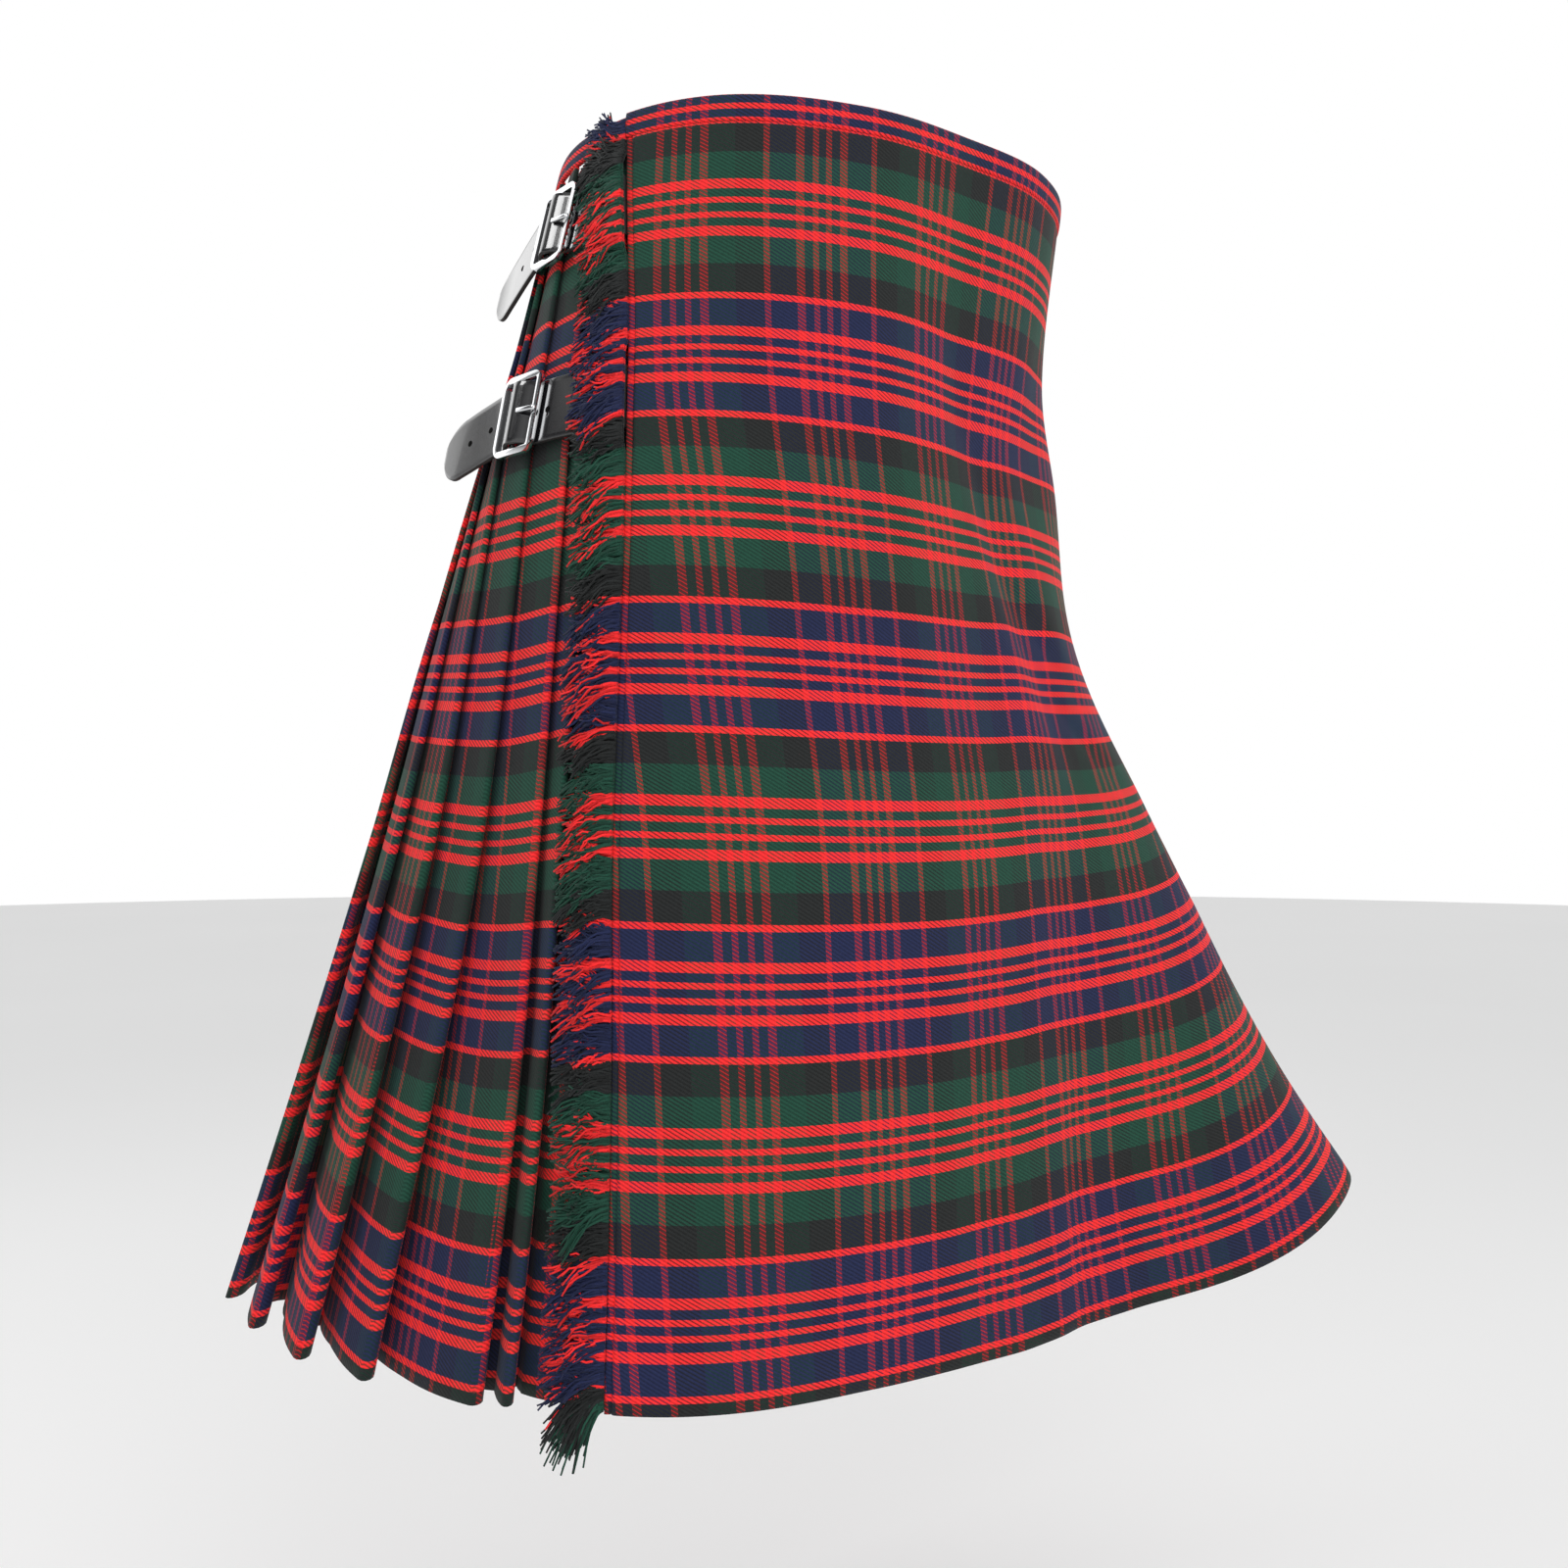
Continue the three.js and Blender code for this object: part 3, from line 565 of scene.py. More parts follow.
# %% The pleats, from beneath the fringed edge round to the left hip
PLEATS = [
    # width at the fell and at the hem, rise of the fold, extra lift at the hem, and which part of the
    # check lies along the fold, all in mm
    {"fell": 22, "hem": 34, "rise": 2.6, "lift": 0, "check": 20},
    {"fell": 15, "hem": 23, "rise": 4.3, "lift": 2, "check": -2},
    {"fell": 15, "hem": 15, "rise": 4.3, "lift": 12, "check": 15},
    {"fell": 30, "hem": 65, "rise": 4.3, "lift": 13, "check": 10},
    {"fell": 32, "hem": 40, "rise": 4.3, "lift": 14, "check": 15},
    {"fell": 26, "hem": 43, "rise": 4.3, "lift": 17, "check": -17},
    {"fell": 27, "hem": 42, "rise": 4.3, "lift": 15, "check": -46},
    {"fell": 28, "hem": 36, "rise": 4.3, "lift": 16, "check": 12},
    {"fell": 29, "hem": 41, "rise": 4.3, "lift": 12, "check": 50},
    {"fell": 28, "hem": 37, "rise": 4.3, "lift": 15, "check": -16},
    {"fell": 28, "hem": 40, "rise": 4.3, "lift": 13, "check": 16},
    {"fell": 27, "hem": 35, "rise": 4.3, "lift": 16, "check": 51},
    {"fell": 29, "hem": 38, "rise": 4.3, "lift": 12, "check": -44},
    {"fell": 28, "hem": 42, "rise": 4.3, "lift": 14, "check": -18},
    {"fell": 29, "hem": 36, "rise": 4.3, "lift": 15, "check": 14},
    {"fell": 27, "hem": 39, "rise": 4.3, "lift": 11, "check": 49},
    {"fell": 28, "hem": 35, "rise": 4.3, "lift": 14, "check": -15},
    {"fell": 29, "hem": 40, "rise": 4.3, "lift": 12, "check": 17},
    {"fell": 28, "hem": 36, "rise": 4.3, "lift": 13, "check": -45},
    {"fell": 29, "hem": 38, "rise": 4.3, "lift": 10, "check": 52},
    {"fell": 28, "hem": 33, "rise": 4.3, "lift": 9, "check": -17},
    {"fell": 28, "hem": 30, "rise": 4.3, "lift": 4, "check": 15},
]
LEFT_LENGTH_FROM = 12  # the pleats from this one on are a second sheet
DEPTH_SHARE = 0.55  # how deep an under-fold goes, as a share of the face above it
PLEAT_ROWS = 110
FACE_STEPS, UNDER_STEPS, RETURN_STEPS = 9, 4, 4
NOSE_MOST = 4.5 * MM  # radius of a fold that has swung free
CREASE_ROUND = 1.2 * MM
FACE_BOW = 1.2 * MM  # a free face swells this much between its folds
HEM_TIP, HEM_TIP_LIFT = 1.4 * MM, 12 * MM  # the folds hang a little lower where they stand this far out
OPENING_DROP = 0.6 * FELL_DROP  # the pleats widen from here down
NOSE_TURNS = [math.radians(turned) for turned in (-60, -30, 0, 30, 60)]

pleat_drops = CLOTH_TOP + (HEM_DROP - CLOTH_TOP) * np.arange(PLEAT_ROWS + 1) / PLEAT_ROWS
opened = smooth((pleat_drops - OPENING_DROP) / (HEM_DROP - OPENING_DROP))
swing = swing_at(pleat_drops)
floor = PLEAT_FLOOR - PLEAT_SINK * swing


def shares(column):
    widths = np.array([pleat[column] for pleat in PLEATS], float)
    return np.concatenate([[0], np.cumsum(widths / widths.sum())])


fell_share, hem_share = shares("fell"), shares("hem")
pleats_from, pleats_to = fringed_edge(pleat_drops) - APRON_TUCK, left_seam(pleat_drops)
fold_along = [pleats_from + (pleats_to - pleats_from) * (fell_share[k] * (1 - opened) + hem_share[k] * opened)
              for k in range(len(PLEATS) + 1)]


def face_level(k, along):
    rise = MM * (PLEATS[k]["rise"] + PLEATS[k]["lift"] * swing)
    start, end = fold_along[k] - PLEAT_OVERHANG, fold_along[k + 1]
    t = (along - start) / (end - start)
    bow = FACE_BOW * swing * np.sin(np.pi * np.clip(t, 0, 1))
    return floor + rise * (1 - t) + bow


def pleat_columns(first, last):
    """Columns of (along, out, thread) arrays, one after another along the folded cloth."""
    columns = []
    for k in range(first, last):
        start, end = fold_along[k], fold_along[k + 1]
        edge = start - PLEAT_OVERHANG
        check = MM * PLEATS[k]["check"]
        nose = 0 * edge
        if k > 0:
            crease = start + DEPTH_SHARE * (end - start)
            stack = face_level(k, edge) - face_level(k - 1, edge)
            if k > first:
                round_in = np.minimum(stack / 4, CREASE_ROUND)
                level = face_level(k, crease) - 0.75 * stack
                columns.append((crease + round_in, level, check - (crease - edge)))
            nose = np.minimum(stack / 4, NOSE_MOST)
            for step in range(RETURN_STEPS):
                at = crease + (edge + nose - crease) * step / (RETURN_STEPS - 1)
                columns.append((at, face_level(k, at) - 2 * nose, check - (at - edge)))
            for turned in NOSE_TURNS:
                at = edge + nose * (1 - math.cos(turned))
                level = face_level(k, at) - nose + nose * math.sin(turned)
                columns.append((at, level, check + 1.4 * nose * math.sin(turned)))
        for step in range(FACE_STEPS + 1):
            at = edge + nose + (end - edge - nose) * step / FACE_STEPS
            columns.append((at, face_level(k, at), check + (at - edge)))
        if k + 1 < len(PLEATS):
            beyond = fold_along[k + 2]
            crease = end + DEPTH_SHARE * (beyond - end)
            stack = face_level(k + 1, end - PLEAT_OVERHANG) - face_level(k, end - PLEAT_OVERHANG)
            last_step = UNDER_STEPS if k + 1 < last else UNDER_STEPS - 1
            for step in range(1, last_step + 1):
                at = end + (crease - end) * step / UNDER_STEPS
                level = face_level(k + 1, at) - stack
                columns.append((at, level, check + (at - edge)))
    return [np.array(part) for part in zip(*columns)]


def pleated_cloth(name, first, last):
    along, out, thread = pleat_columns(first, last)
    drops = np.broadcast_to(pleat_drops, along.shape)
    points = place(along, drops, out)
    points[..., 2] -= HEM_TIP * swing * np.clip(out / HEM_TIP_LIFT, -0.6, 1)

    def lay(a, b):
        return points[a, b], np.stack([thread[a, b], drops[a, b]], axis=-1)

    return cloth_sheet(name, len(along) - 1, PLEAT_ROWS, lay, 0.8 * MM, cloth_wool)


pleats_right, right_area = pleated_cloth("pleats_right_cloth", 0, LEFT_LENGTH_FROM)
pleats_left, left_area = pleated_cloth("pleats_left_cloth", LEFT_LENGTH_FROM, len(PLEATS))


# %% [markdown]
# ## The waistband
# The waistband is a narrow strip of the same check, folded over the top edge and sewn down. It is cut so that
# a blue line with red at each side runs along its length, and pressing leaves it softly rounded.

# %% Waistband
BAND_CHECK = 121.8 * MM  # which part of the check lies along its top edge
BAND_ROWS = 10
BAND_ROLL = 0.5 * MM  # its two long edges lie this much lower than its middle


def waistband(name, columns, start_of, end_of, level_of, thread_shift):
    def lay(a, b):
        drop = BAND_HEIGHT * b / BAND_ROWS
        start, end = start_of(drop), end_of(drop)
        along = start + (end - start) * a / columns
        roll = BAND_ROLL * (2 * b / BAND_ROWS - 1) ** 4
        points = place(along, drop, level_of(along, drop) - roll)
        return points, np.stack([apron_thread(along, drop) + thread_shift, BAND_CHECK + drop], axis=-1)

    return cloth_sheet(name, columns, BAND_ROWS, lay, 2.2 * MM, cloth_wool)


def over_band_level(along, drop):
    return BAND_LEVEL["over"] + (BAND_LEVEL["back"] - BAND_LEVEL["over"]) * near_seam(along, drop)


over_band, over_band_area = waistband(
    "waistband_over_apron", 150, unwrapped_left_seam, fringed_edge, over_band_level, 0.0)
back_band, back_band_area = waistband(
    "waistband_over_pleats", 120, lambda drop: fringed_edge(drop) - APRON_TUCK, left_seam,
    lambda along, drop: BAND_LEVEL["back"], 30 * MM)
under_band, under_band_area = waistband(
    "waistband_under_apron", 90, lambda drop: along_at(UNDER_APRON_END, drop) - total_at(drop),
    lambda drop: fringed_edge(drop) - APRON_TUCK - SEAM_GAP,
    lambda along, drop: BAND_LEVEL["back"], UNDER_CHECK)

# %% [markdown]
# ## The fringe
# The fringe is the crossing threads themselves, left bare where the long threads were drawn out, in two rows
# one over the other. Each thread is a slim three-sided tube. Threads cling together in tufts, sag, and
# keep the colour that the check has at their height, so one array of them makes the whole edge.

# %% Fringe threads
THREAD_STEPS = 6
THREAD_SIDES = 3
FRINGE_ROWS = [
    {"name": "fringe_inner_threads", "reach": 29, "level": -0.2, "back": 0, "count": 2400, "seed": 11},
    {"name": "fringe_outer_threads", "reach": 23, "level": 1.5, "back": 3, "count": 2100, "seed": 23},
]
STRAPS = [
    {"name": "top", "side": "right", "drop": 50, "reach": 50, "droop": 20, "curl": 6},
    {"name": "hip", "side": "right", "drop": 151, "reach": 66, "droop": 10, "curl": 0},
    {"name": "left", "side": "left", "drop": 42, "reach": 46, "droop": 8, "curl": 0},
]
STRAP_WIDTH = 32 * MM
# The fringe rides up over a strap: how far, how soon beyond the strap, and over what stretch.
OVER_STRAP, STRAP_MARGIN, STRAP_RAMP = 3.2 * MM, 5 * MM, 10 * MM


def over_straps(drop):
    """How far the threads ride up where a strap comes out beneath them."""
    lift = np.zeros_like(drop)
    for strap in STRAPS[:2]:
        past = np.abs(drop - strap["drop"] * MM) - STRAP_WIDTH / 2 - STRAP_MARGIN
        lift = np.maximum(lift, OVER_STRAP * (1 - smooth(past / STRAP_RAMP)))
    return lift


TUFTS = np.array([5.0, 6.5, 8.0]) * MM  # spacing of the tufts that the threads cling in
TUFT_MIDDLE = 6.5 * MM  # from the middle of one tuft to the next
TUFT_PULL = 3.5 * MM  # the most that a thread leans towards it
ONE_TAIL_IN = 24  # of the threads, one in this many is a tail at the corner of the hem
TAIL_CHECK = 15 * MM  # the tails come from the cloth that is turned up inside the hem
WRIGGLE, WRIGGLE_OUT = 1.5 * MM, 1.1  # how far a thread waves up and down, and outwards in mm


def fringe_lines(row):
    """The middle lines of the threads, and the place of each in the check."""
    random = np.random.default_rng(row["seed"])
    count = row["count"]
    tails = count // ONE_TAIL_IN
    root = np.sort(np.concatenate([random.uniform(4 * MM, HEM_DROP - 6 * MM, count - tails),
                                   random.uniform(HEM_DROP - 20 * MM, HEM_DROP - 2 * MM, tails)]))
    tuft = np.round(root / random.choice(TUFTS, count))
    lean = np.random.default_rng(row["seed"] + 1).normal(0, 1, 400)[tuft.astype(int) % 400]
    length = 0.9 + 0.12 * lean.clip(-1, 1) + random.normal(0, 0.1, count)
    length = MM * row["reach"] * length.clip(0.5, 1.08)
    pull = np.clip(tuft * TUFT_MIDDLE - root, -TUFT_PULL, TUFT_PULL)
    sag = MM * (3.5 + 4.6 * lean + random.normal(0, 1.6, count))
    at_hem = smooth((root / MM - 597) / 9)
    at_top = smooth((30 - root / MM) / 14)
    sag += MM * (at_hem * random.uniform(9, 23, count) - 12 * at_top)
    length *= 1 - at_hem * random.uniform(0, 0.45, count)
    wave = random.uniform(0, 2 * np.pi, count)[:, None]
    t = np.linspace(0, 1, THREAD_STEPS + 1)[None, :]
    fallen = root[:, None] + pull[:, None] * t * 0.8 + sag[:, None] * t**2
    fallen = fallen + WRIGGLE * np.sin(wave + 9 * t) * t
    drop = np.clip(fallen, 0, HEM_DROP)
    out = MM * (row["level"] + WRIGGLE_OUT * np.sin(wave * 3 + 4 * t) * t + 0.9 * lean[:, None] * t)
    out = np.maximum(out, MM * (row["level"] - 0.5)) + over_straps(drop)
    start = fringed_edge(drop) - MM * row["back"]
    middle = place(start + length[:, None] * t + MM * row["back"] * (1 - t), drop, out)
    middle[..., 2] -= fallen - drop
    return middle, root + TAIL_CHECK * at_hem


THREAD_RADIUS = 0.68 * MM


def fringe(row):
    middle, check = fringe_lines(row)
    count = len(middle)
    run = np.gradient(middle, axis=1)
    run /= np.linalg.norm(run, axis=2, keepdims=True)
    side = np.cross(run, np.array([0.0, 0.0, 1.0]))
    side /= np.linalg.norm(side, axis=2, keepdims=True)
    up = np.cross(side, run)
    taper = 1 - 0.3 * np.linspace(0, 1, THREAD_STEPS + 1)
    thick = THREAD_RADIUS * taper[None, :, None]
    turns = 2 * math.pi * np.arange(THREAD_SIDES) / THREAD_SIDES
    rings = [middle + thick * (side * math.cos(turn) + up * math.sin(turn)) for turn in turns]
    verts = np.stack(rings, axis=2).reshape(-1, 3)
    base = np.arange(count)[:, None, None] * (THREAD_STEPS + 1) * THREAD_SIDES
    step = np.arange(THREAD_STEPS)[None, :, None] * THREAD_SIDES
    here = np.arange(THREAD_SIDES)[None, None, :]
    there = (here + 1) % THREAD_SIDES
    quads = np.stack([base + step + here, base + step + there, base + step + there + THREAD_SIDES,
                      base + step + here + THREAD_SIDES], axis=-1).reshape(-1, 4)
    root_caps = base[:, 0] + np.arange(THREAD_SIDES)[::-1][None, :]
    tip_caps = base[:, 0] + THREAD_STEPS * THREAD_SIDES + np.arange(THREAD_SIDES)[None, :]
    mesh = bpy.data.meshes.new(row["name"])
    mesh.from_pydata(verts.tolist(), [], quads.tolist() + root_caps.tolist() + tip_caps.tolist())
    uv = mesh.uv_layers.new(name="cloth")
    loop_verts = np.empty(len(mesh.loops), np.int32)
    mesh.loops.foreach_get("vertex_index", loop_verts)
    down = np.repeat(check, (THREAD_STEPS + 1) * THREAD_SIDES)[loop_verts]
    uv.data.foreach_set("uv", np.stack([0 * down, down], axis=-1).astype(np.float32).ravel())
    mesh.materials.append(fringe_wool)
    bm = bmesh.new()
    bm.from_mesh(mesh)
    bmesh.ops.recalc_face_normals(bm, faces=bm.faces)
    for face in bm.faces:
        face.smooth = True
    bm.to_mesh(mesh)
    bm.free()
    print(row["name"], "threads", count, "faces", len(mesh.polygons))
    return scene_object(row["name"], mesh)


fringe_inner, fringe_outer = (fringe(row) for row in FRINGE_ROWS)

# %% [markdown]
# ## Leather and metal
# The straps are patent leather: black, under a clear lacquer that mirrors the room. The buckles are cast and
# chrome plated. Both finishes are mostly reflection, so faint waves and fine scratches matter more than their
# colour.

# %% Leather and chrome finishes
def patent_leather():
    finish = Finish("patent_leather", Coat_Weight=0.9, Coat_Roughness=0.04, Specular_IOR_Level=0.6)
    grain = finish.noise(420.0, 4.0)
    waves = finish.noise(38.0, 2.0)
    finish.feed("Base Color", finish.mix(grain, paint(13, 13, 15), paint(30, 30, 33)))
    finish.feed("Roughness", grain * 0.1 + 0.1)
    finish.bump(waves * 0.85 + grain * 0.15, 0.0003, 0.2)
    return finish.material


def chrome():
    finish = Finish("chrome_plate", Metallic=1.0)
    swirl = finish.noise(60.0, 3.0)
    scratch = finish.noise(500.0, 2.0, stretch=(1.0, 1.0, 0.12))
    finish.feed("Base Color", finish.mix(swirl, paint(214, 216, 220), paint(238, 239, 240)))
    finish.feed("Roughness", scratch * 0.08 + swirl * 0.06 + 0.04)
    finish.bump(scratch, 0.00003, 0.3)
    return finish.material


def edge_leather():
    finish = Finish("strap_edge_leather", Specular_IOR_Level=0.35)
    grain = finish.noise(700.0, 5.0)
    finish.feed("Base Color", finish.mix(grain, paint(22, 21, 21), paint(52, 50, 48)))
    finish.feed("Roughness", grain * 0.2 + 0.5)
    finish.bump(grain, 0.0002, 0.5)
    return finish.material


leather, plate, raw_leather = patent_leather(), chrome(), edge_leather()

# %% [markdown]
# ## Straps
# Each strap comes out from beneath the apron, dips under the near bar of its buckle, rides over the middle
# bar, dips again, and ends in a rounded tip that stands off the cloth. We shape it in the buckle's own frame:
# X back to where the strap comes from, Z out from the hip.

# %% Straps in the frame of their buckles
STRAP_THICK = 2.2 * MM
HIP_RADIUS = 165 * MM
STRAP_PATH = [
    # past the middle bar, out from the hip, share of the droop, share of the full width
    (-22, -0.7, 0.0, 1.0),
    (-12.5, 0.2, 0.0, 1.0),
    (-2.5, 5.9, 0.0, 1.0),
    (2.5, 5.9, 0.0, 1.0),
    (12.5, 0.2, 0.0, 1.0),
    (18, 0.2, 0.04, 1.0),
    (30, 0.6, 0.3, 1.0),
    (44, 1.2, 0.65, 1.0),
    (54, 1.6, 0.9, 0.95),
    (61, 1.8, 1.0, 0.72),
    (66, 1.9, 1.0, 0.25),
]
PAST, OUT, DROOP, WIDTH = (np.array(column) for column in zip(*STRAP_PATH))
STRAP_COLUMNS, STRAP_ROWS = 72, 12
TIP_FROM, TIP_LENGTH = 50, 16.5  # the tip is rounded from here, in mm past the middle bar
STRAP_LEVEL = 0.2 * MM  # middle of a strap where it comes out
CHORD_REACH = 8 * MM  # a buckle sits on chords of the surface that reach this far each way


def strap_way(strap):
    return 1 if strap["side"] == "right" else -1


def strap_lie(strap, past):
    """How far down and out of its buckle's frame the middle of a strap lies, past the middle bar."""
    droop = down_table(PAST, DROOP, past)
    return MM * strap["droop"] * droop, MM * (down_table(PAST, OUT, past) - strap["curl"] * droop)


def strap_start(strap, drop):
    return fringed_edge(drop) + 0.6 * MM if strap["side"] == "right" else left_seam(drop) - 2 * MM


def buckle_frame(strap):
    way, drop = strap_way(strap), strap["drop"] * MM
    middle = strap_start(strap, drop) + way * strap["reach"] * MM
    near, far = (Vector(place(middle + side * way * CHORD_REACH, drop, 0)) for side in (-1, 1))
    up = Vector(place(middle, drop - CHORD_REACH, 0)) - Vector(place(middle, drop + CHORD_REACH, 0))
    x = (near - far).normalized()
    z = x.cross(up).normalized() * way
    y = z.cross(x)
    matrix = Matrix((x, y, z)).transposed().to_4x4()
    matrix.translation = Vector(place(middle, drop, 0))
    return matrix


def make_strap(strap):
    way, matrix = strap_way(strap), np.array(buckle_frame(strap))
    reach, hidden = strap["reach"], strap["reach"] + PAST[0]

    def to_world(local):
        return local @ matrix[:3, :3].T + matrix[:3, 3]

    def lay(a, b):
        past = -reach + (reach + PAST[-1]) * a / STRAP_COLUMNS
        across = (2 * b / STRAP_ROWS - 1) * STRAP_WIDTH / 2
        inner = np.maximum(past, PAST[0])
        width = down_table(PAST, WIDTH, inner)
        round_tip = np.sqrt(np.clip(1 - ((past - TIP_FROM) / TIP_LENGTH).clip(0, 1) ** 2, 0.02, 1))
        width = np.where(past > TIP_FROM, round_tip, width)
        lower, out = strap_lie(strap, inner)
        local = np.stack([-inner * MM, -way * (across * width + lower), out], axis=-1)
        points = to_world(local)
        drop = strap["drop"] * MM + across
        start = place(strap_start(strap, drop), drop, STRAP_LEVEL)
        t = ((past + reach) / hidden).clip(0, 1)[:, None]
        bow = 4 * t * (1 - t) * (hidden * MM) ** 2 / 8 / HIP_RADIUS
        back = start * (1 - t) + points * t + matrix[:3, 2] * bow
        points = np.where(past[:, None] < PAST[0], back, points)
        return points, np.stack([past * MM, across], axis=-1)

    mirrored = way < 0
    made, _ = cloth_sheet(f"strap_{strap['name']}_leather", STRAP_COLUMNS, STRAP_ROWS,
                          (lambda a, b: lay(STRAP_COLUMNS - a, b)) if mirrored else lay, STRAP_THICK, leather)
    made.data.materials.append(raw_leather)
    wall = made.modifiers["thickness"]
    wall.use_even_offset = True
    wall.material_offset_rim = 1
    edge = made.modifiers.new("turned edge", "BEVEL")
    edge.width, edge.segments, edge.limit_method, edge.angle_limit = 0.5 * MM, 2, "ANGLE", math.radians(50)
    return made


strap_pieces = {strap["name"]: make_strap(strap) for strap in STRAPS}


# %% [markdown]
# ## Buckles and prongs
# The solids of the buckles have sharp edges, because a checker only needs their shape. A cast buckle is round
# to the touch, so a copy is cleaned of its loose triangles and its edges are bevelled.

# %% Round the edges of a solid's copy
def rounded_copy(node, name, radius_mm, segments, material):
    bm = bmesh.new()
    bm.from_mesh(nodes[node].data)
    bmesh.ops.remove_doubles(bm, verts=bm.verts, dist=1e-5)
    bmesh.ops.dissolve_limit(bm, angle_limit=math.radians(1), verts=bm.verts, edges=bm.edges)
    sharp = [e for e in bm.edges if len(e.link_faces) == 2 and e.calc_face_angle() > math.radians(30)]
    bmesh.ops.bevel(bm, geom=sharp, offset=radius_mm * MM, segments=segments, affect="EDGES", profile=0.5,
                    material=-1, clamp_overlap=True)
    for face in bm.faces:
        face.smooth = True
    mesh = bpy.data.meshes.new(name)
    bm.to_mesh(mesh)
    print(name, "faces", len(bm.faces))
    bm.free()
    mesh.materials.append(material)
    return scene_object(name, mesh)


metal_pieces = {}
for strap in STRAPS:
    label = strap["name"]
    metal_pieces[f"buckle_{label}"] = rounded_copy(f"buckle_{label}", f"buckle_{label}_plate", 1.0, 3, plate)
    metal_pieces[f"prong_{label}"] = rounded_copy(f"prong_{label}", f"prong_{label}_plate", 0.5, 2, plate)
    chape = nodes[f"chape_{label}"]
    chape.data.materials.clear()
    chape.data.materials.append(raw_leather)

# %% [markdown]
# ## Punched holes
# A strap has a row of punched holes towards its tip. A hole this small never shows its far side, so each is
# a short dark plug of painted shade sunk into the leather, and the strap itself needs no cut.

# %% Punched holes
hole_shade_finish = Finish("hole_shadow", Roughness=0.9, Specular_IOR_Level=0.05)
hole_shade_noise = hole_shade_finish.noise(800.0)
# painted shade: near black, for the dark inside of a punched hole
hole_shade_finish.feed("Base Color", hole_shade_finish.mix(hole_shade_noise, paint(4, 4, 4), paint(14, 13, 12)))
HOLES_PAST = {"top": (-20, 25, 38), "hip": (-21, 27, 44), "left": (-20, 25, 38)}
HOLE_RADIUS, HOLE_DEPTH, HOLE_SINK = 1.7 * MM, 0.7 * MM, 0.25 * MM


def punched_holes(strap):
    matrix, way = buckle_frame(strap), strap_way(strap)
    bm = bmesh.new()
    for past in HOLES_PAST[strap["name"]]:
        lower, out = (float(v[0]) for v in strap_lie(strap, np.array([past])))
        spot = matrix @ Matrix.Translation((-past * MM, -way * lower, out + STRAP_THICK / 2 - HOLE_SINK))
        bmesh.ops.create_cone(bm, cap_ends=True, segments=20, radius1=HOLE_RADIUS, radius2=HOLE_RADIUS * 0.96,
                              depth=HOLE_DEPTH, matrix=spot)
    mesh = bpy.data.meshes.new(f"strap_{strap['name']}_holes")
    bm.to_mesh(mesh)
    bm.free()
    mesh.materials.append(hole_shade_finish.material)
    return scene_object(mesh.name, mesh)


hole_pieces = {strap["name"]: punched_holes(strap) for strap in STRAPS}

# %% [markdown]
# ## What each piece stands for
# Each piece is hung from the body's root, and the plain solid that it stands for is hidden. The checks keep
# the plain solids. Each sheet's cut, its mean width and its length, is printed.

CLOTH_DROP = HEM_DROP - CLOTH_TOP


def declare(piece, node):
    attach(piece, "root")
    if node:
        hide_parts(node)
    return piece


def cut_of(piece, area, length):
    """A sheet's cut: its mean width is its area over its length. Pleats and aprons are cut as rectangles."""
    area / length
    print(piece.name, "cut, mm:", round(1000 * area / length), "by", round(1000 * length))


declare(over_apron, "over_apron")
declare(under_apron, "under_apron")
declare(pleats_right, "pleats_right")
declare(pleats_left, "pleats_left")
declare(over_band, "waistband_apron")
declare(back_band, "waistband_back")
declare(under_band, "waistband_under")
declare(fringe_inner, "fringe_inner")
declare(fringe_outer, "fringe_outer")
for label, piece in strap_pieces.items():
    declare(piece, f"strap_{label}")
    declare(hole_pieces[label], None)
for node, piece in metal_pieces.items():
    declare(piece, node)

cut_of(over_apron, over_area, CLOTH_DROP)
cut_of(under_apron, under_area, UNDER_HEM - CLOTH_TOP)
cut_of(pleats_right, right_area, CLOTH_DROP)
cut_of(pleats_left, left_area, CLOTH_DROP)
cut_of(over_band, over_band_area, BAND_HEIGHT)
cut_of(back_band, back_band_area, BAND_HEIGHT)
cut_of(under_band, under_band_area, BAND_HEIGHT)

# %% [markdown]
# ## Floor, light and camera
# The kilt is held up by its wearer, so it hangs above a plain pale floor. A pale room gives most of the
# light. Four soft lamps add a little shape: one at the right front, one beside the pleats on the right, and
# weaker ones from the front and from behind.

# %% Floor
FLOOR_DROP = 0.95
floor_finish = Finish("studio_floor", Roughness=0.9, Specular_IOR_Level=0.1)
floor_cloud = floor_finish.noise(0.8)
floor_finish.feed("Base Color", floor_finish.mix(floor_cloud, (0.93, 0.93, 0.93, 1), (0.96, 0.96, 0.96, 1)))
floor_bm = bmesh.new()
bmesh.ops.create_circle(floor_bm, cap_ends=True, segments=96, radius=9.0,
                        matrix=Matrix.Translation((0, 0, -FLOOR_DROP)))
floor_mesh = bpy.data.meshes.new("studio_floor")
floor_bm.to_mesh(floor_mesh)
floor_bm.free()
floor_mesh.materials.append(floor_finish.material)
scene_object("studio_floor", floor_mesh)

# %% A pale room
DARK_CORNER = (-0.35, 0.62, 0.7)  # the way to the one dark part of the room
ROOM_SHADES = [(0.0, 0.88), (0.9, 0.88), (0.95, 0.14), (0.975, 0.1), (0.984, 0.55), (0.992, 0.12), (1.0, 0.1)]


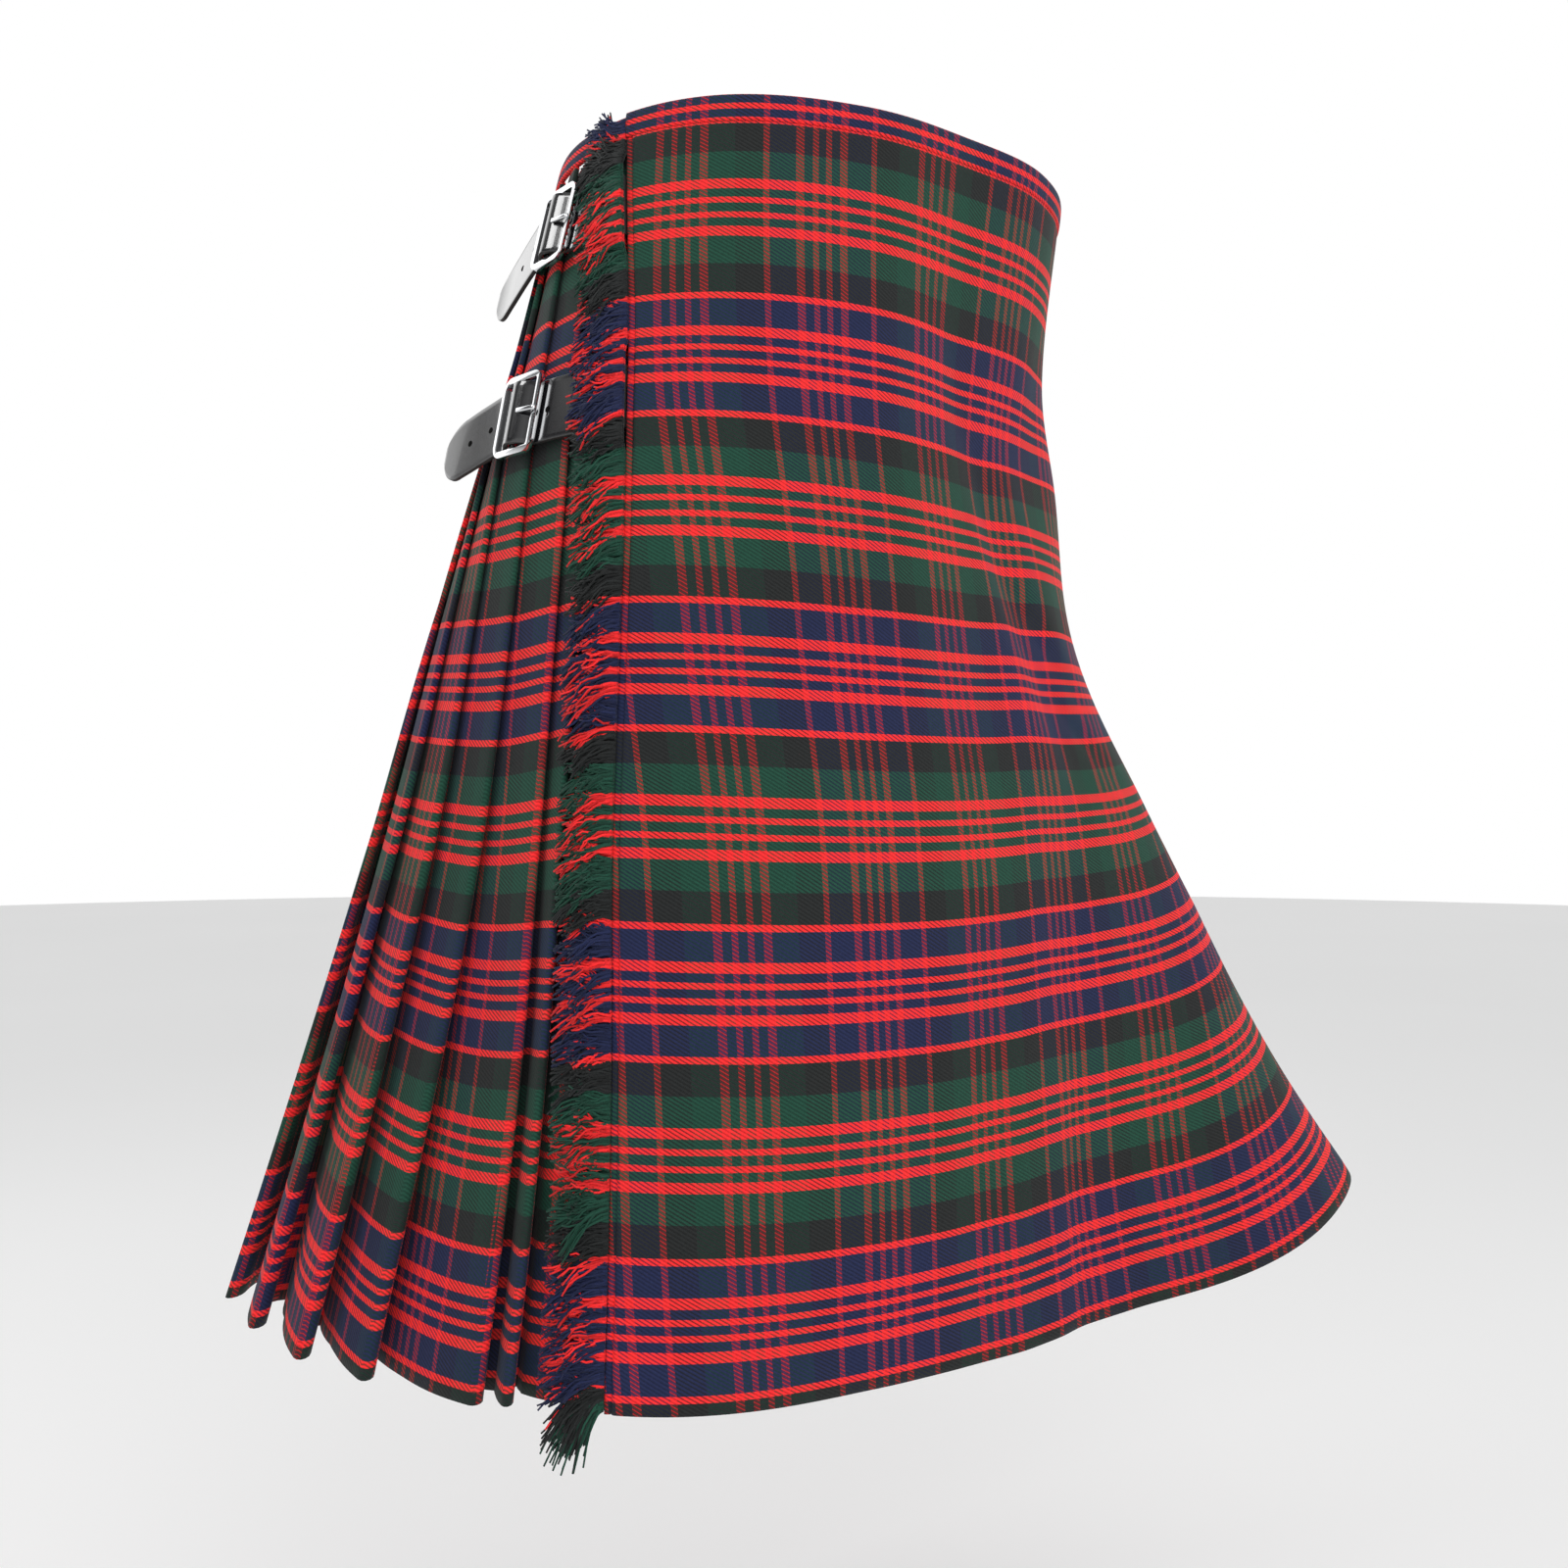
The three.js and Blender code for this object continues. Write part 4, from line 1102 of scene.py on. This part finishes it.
def pale_room():
    """White to look at. One corner casts little light, so metal and lacquer have something dark to mirror."""
    world = bpy.data.worlds.new("pale_room")
    world.use_nodes = True
    room = Maker(world.node_tree)
    direction = room.node("ShaderNodeTexCoord")[0]
    near_corner = room.node("ShaderNodeVectorMath", {"operation": "DOT_PRODUCT"}, (direction, DARK_CORNER))[1]
    shade, _ = room.node("ShaderNodeValToRGB", None, (near_corner * 0.5 + 0.5,))
    stops = [(at, (grey, grey, grey, 1)) for at, grey in ROOM_SHADES]
    room.fill_ramp(shade.socket.node.color_ramp, stops, "LINEAR")
    cast = room.node("ShaderNodeBackground", None, {"Color": shade, "Strength": 1.0})[0]
    looked_at = room.node("ShaderNodeLightPath")[0]
    seen = room.node("ShaderNodeBackground", None, {"Color": (1.0, 1.0, 1.0, 1), "Strength": 1.0})[0]
    both = room.node("ShaderNodeMixShader", None, (looked_at, cast, seen))[0]
    room.join(both, world.node_tree.nodes["World Output"].inputs["Surface"])
    return world


bpy.context.scene.world = pale_room()
bpy.context.scene.view_settings.view_transform = "Standard"


# %% Soft lamps
def soft_light(name, energy, size, where, towards):
    data = bpy.data.lights.new(name, "AREA")
    data.energy, data.size = energy, size
    lamp = scene_object(name, data)
    lamp.location = where
    lamp.rotation_euler = (Vector(towards) - Vector(where)).to_track_quat("-Z", "Y").to_euler()


soft_light("front_softbox", 7.5, 0.8, (-1.35, -0.95, 0.35), (0, 0, -0.3))
soft_light("side_softbox", 4.5, 0.42, (-0.94, 0.9, 0.87), (0, 0, -0.3))
soft_light("fill_softbox", 4, 1.4, (0.6, -1.9, 0.3), (0, 0, -0.3))
soft_light("back_softbox", 4, 1.2, (0.4, 1.8, 0.8), (0, 0, -0.3))

# %% Camera
camera_data = bpy.data.cameras.new("camera")
camera_data.sensor_width = 36
camera_data.lens = 37.44
camera_data.shift_y = 0.005
camera = scene_object("camera", camera_data)
camera.location = (-0.874, -0.303, -0.333)
look = Vector((math.cos(math.radians(20)), math.sin(math.radians(20)), 0))
camera.rotation_euler = look.to_track_quat("-Z", "Y").to_euler()
bpy.context.scene.camera = camera
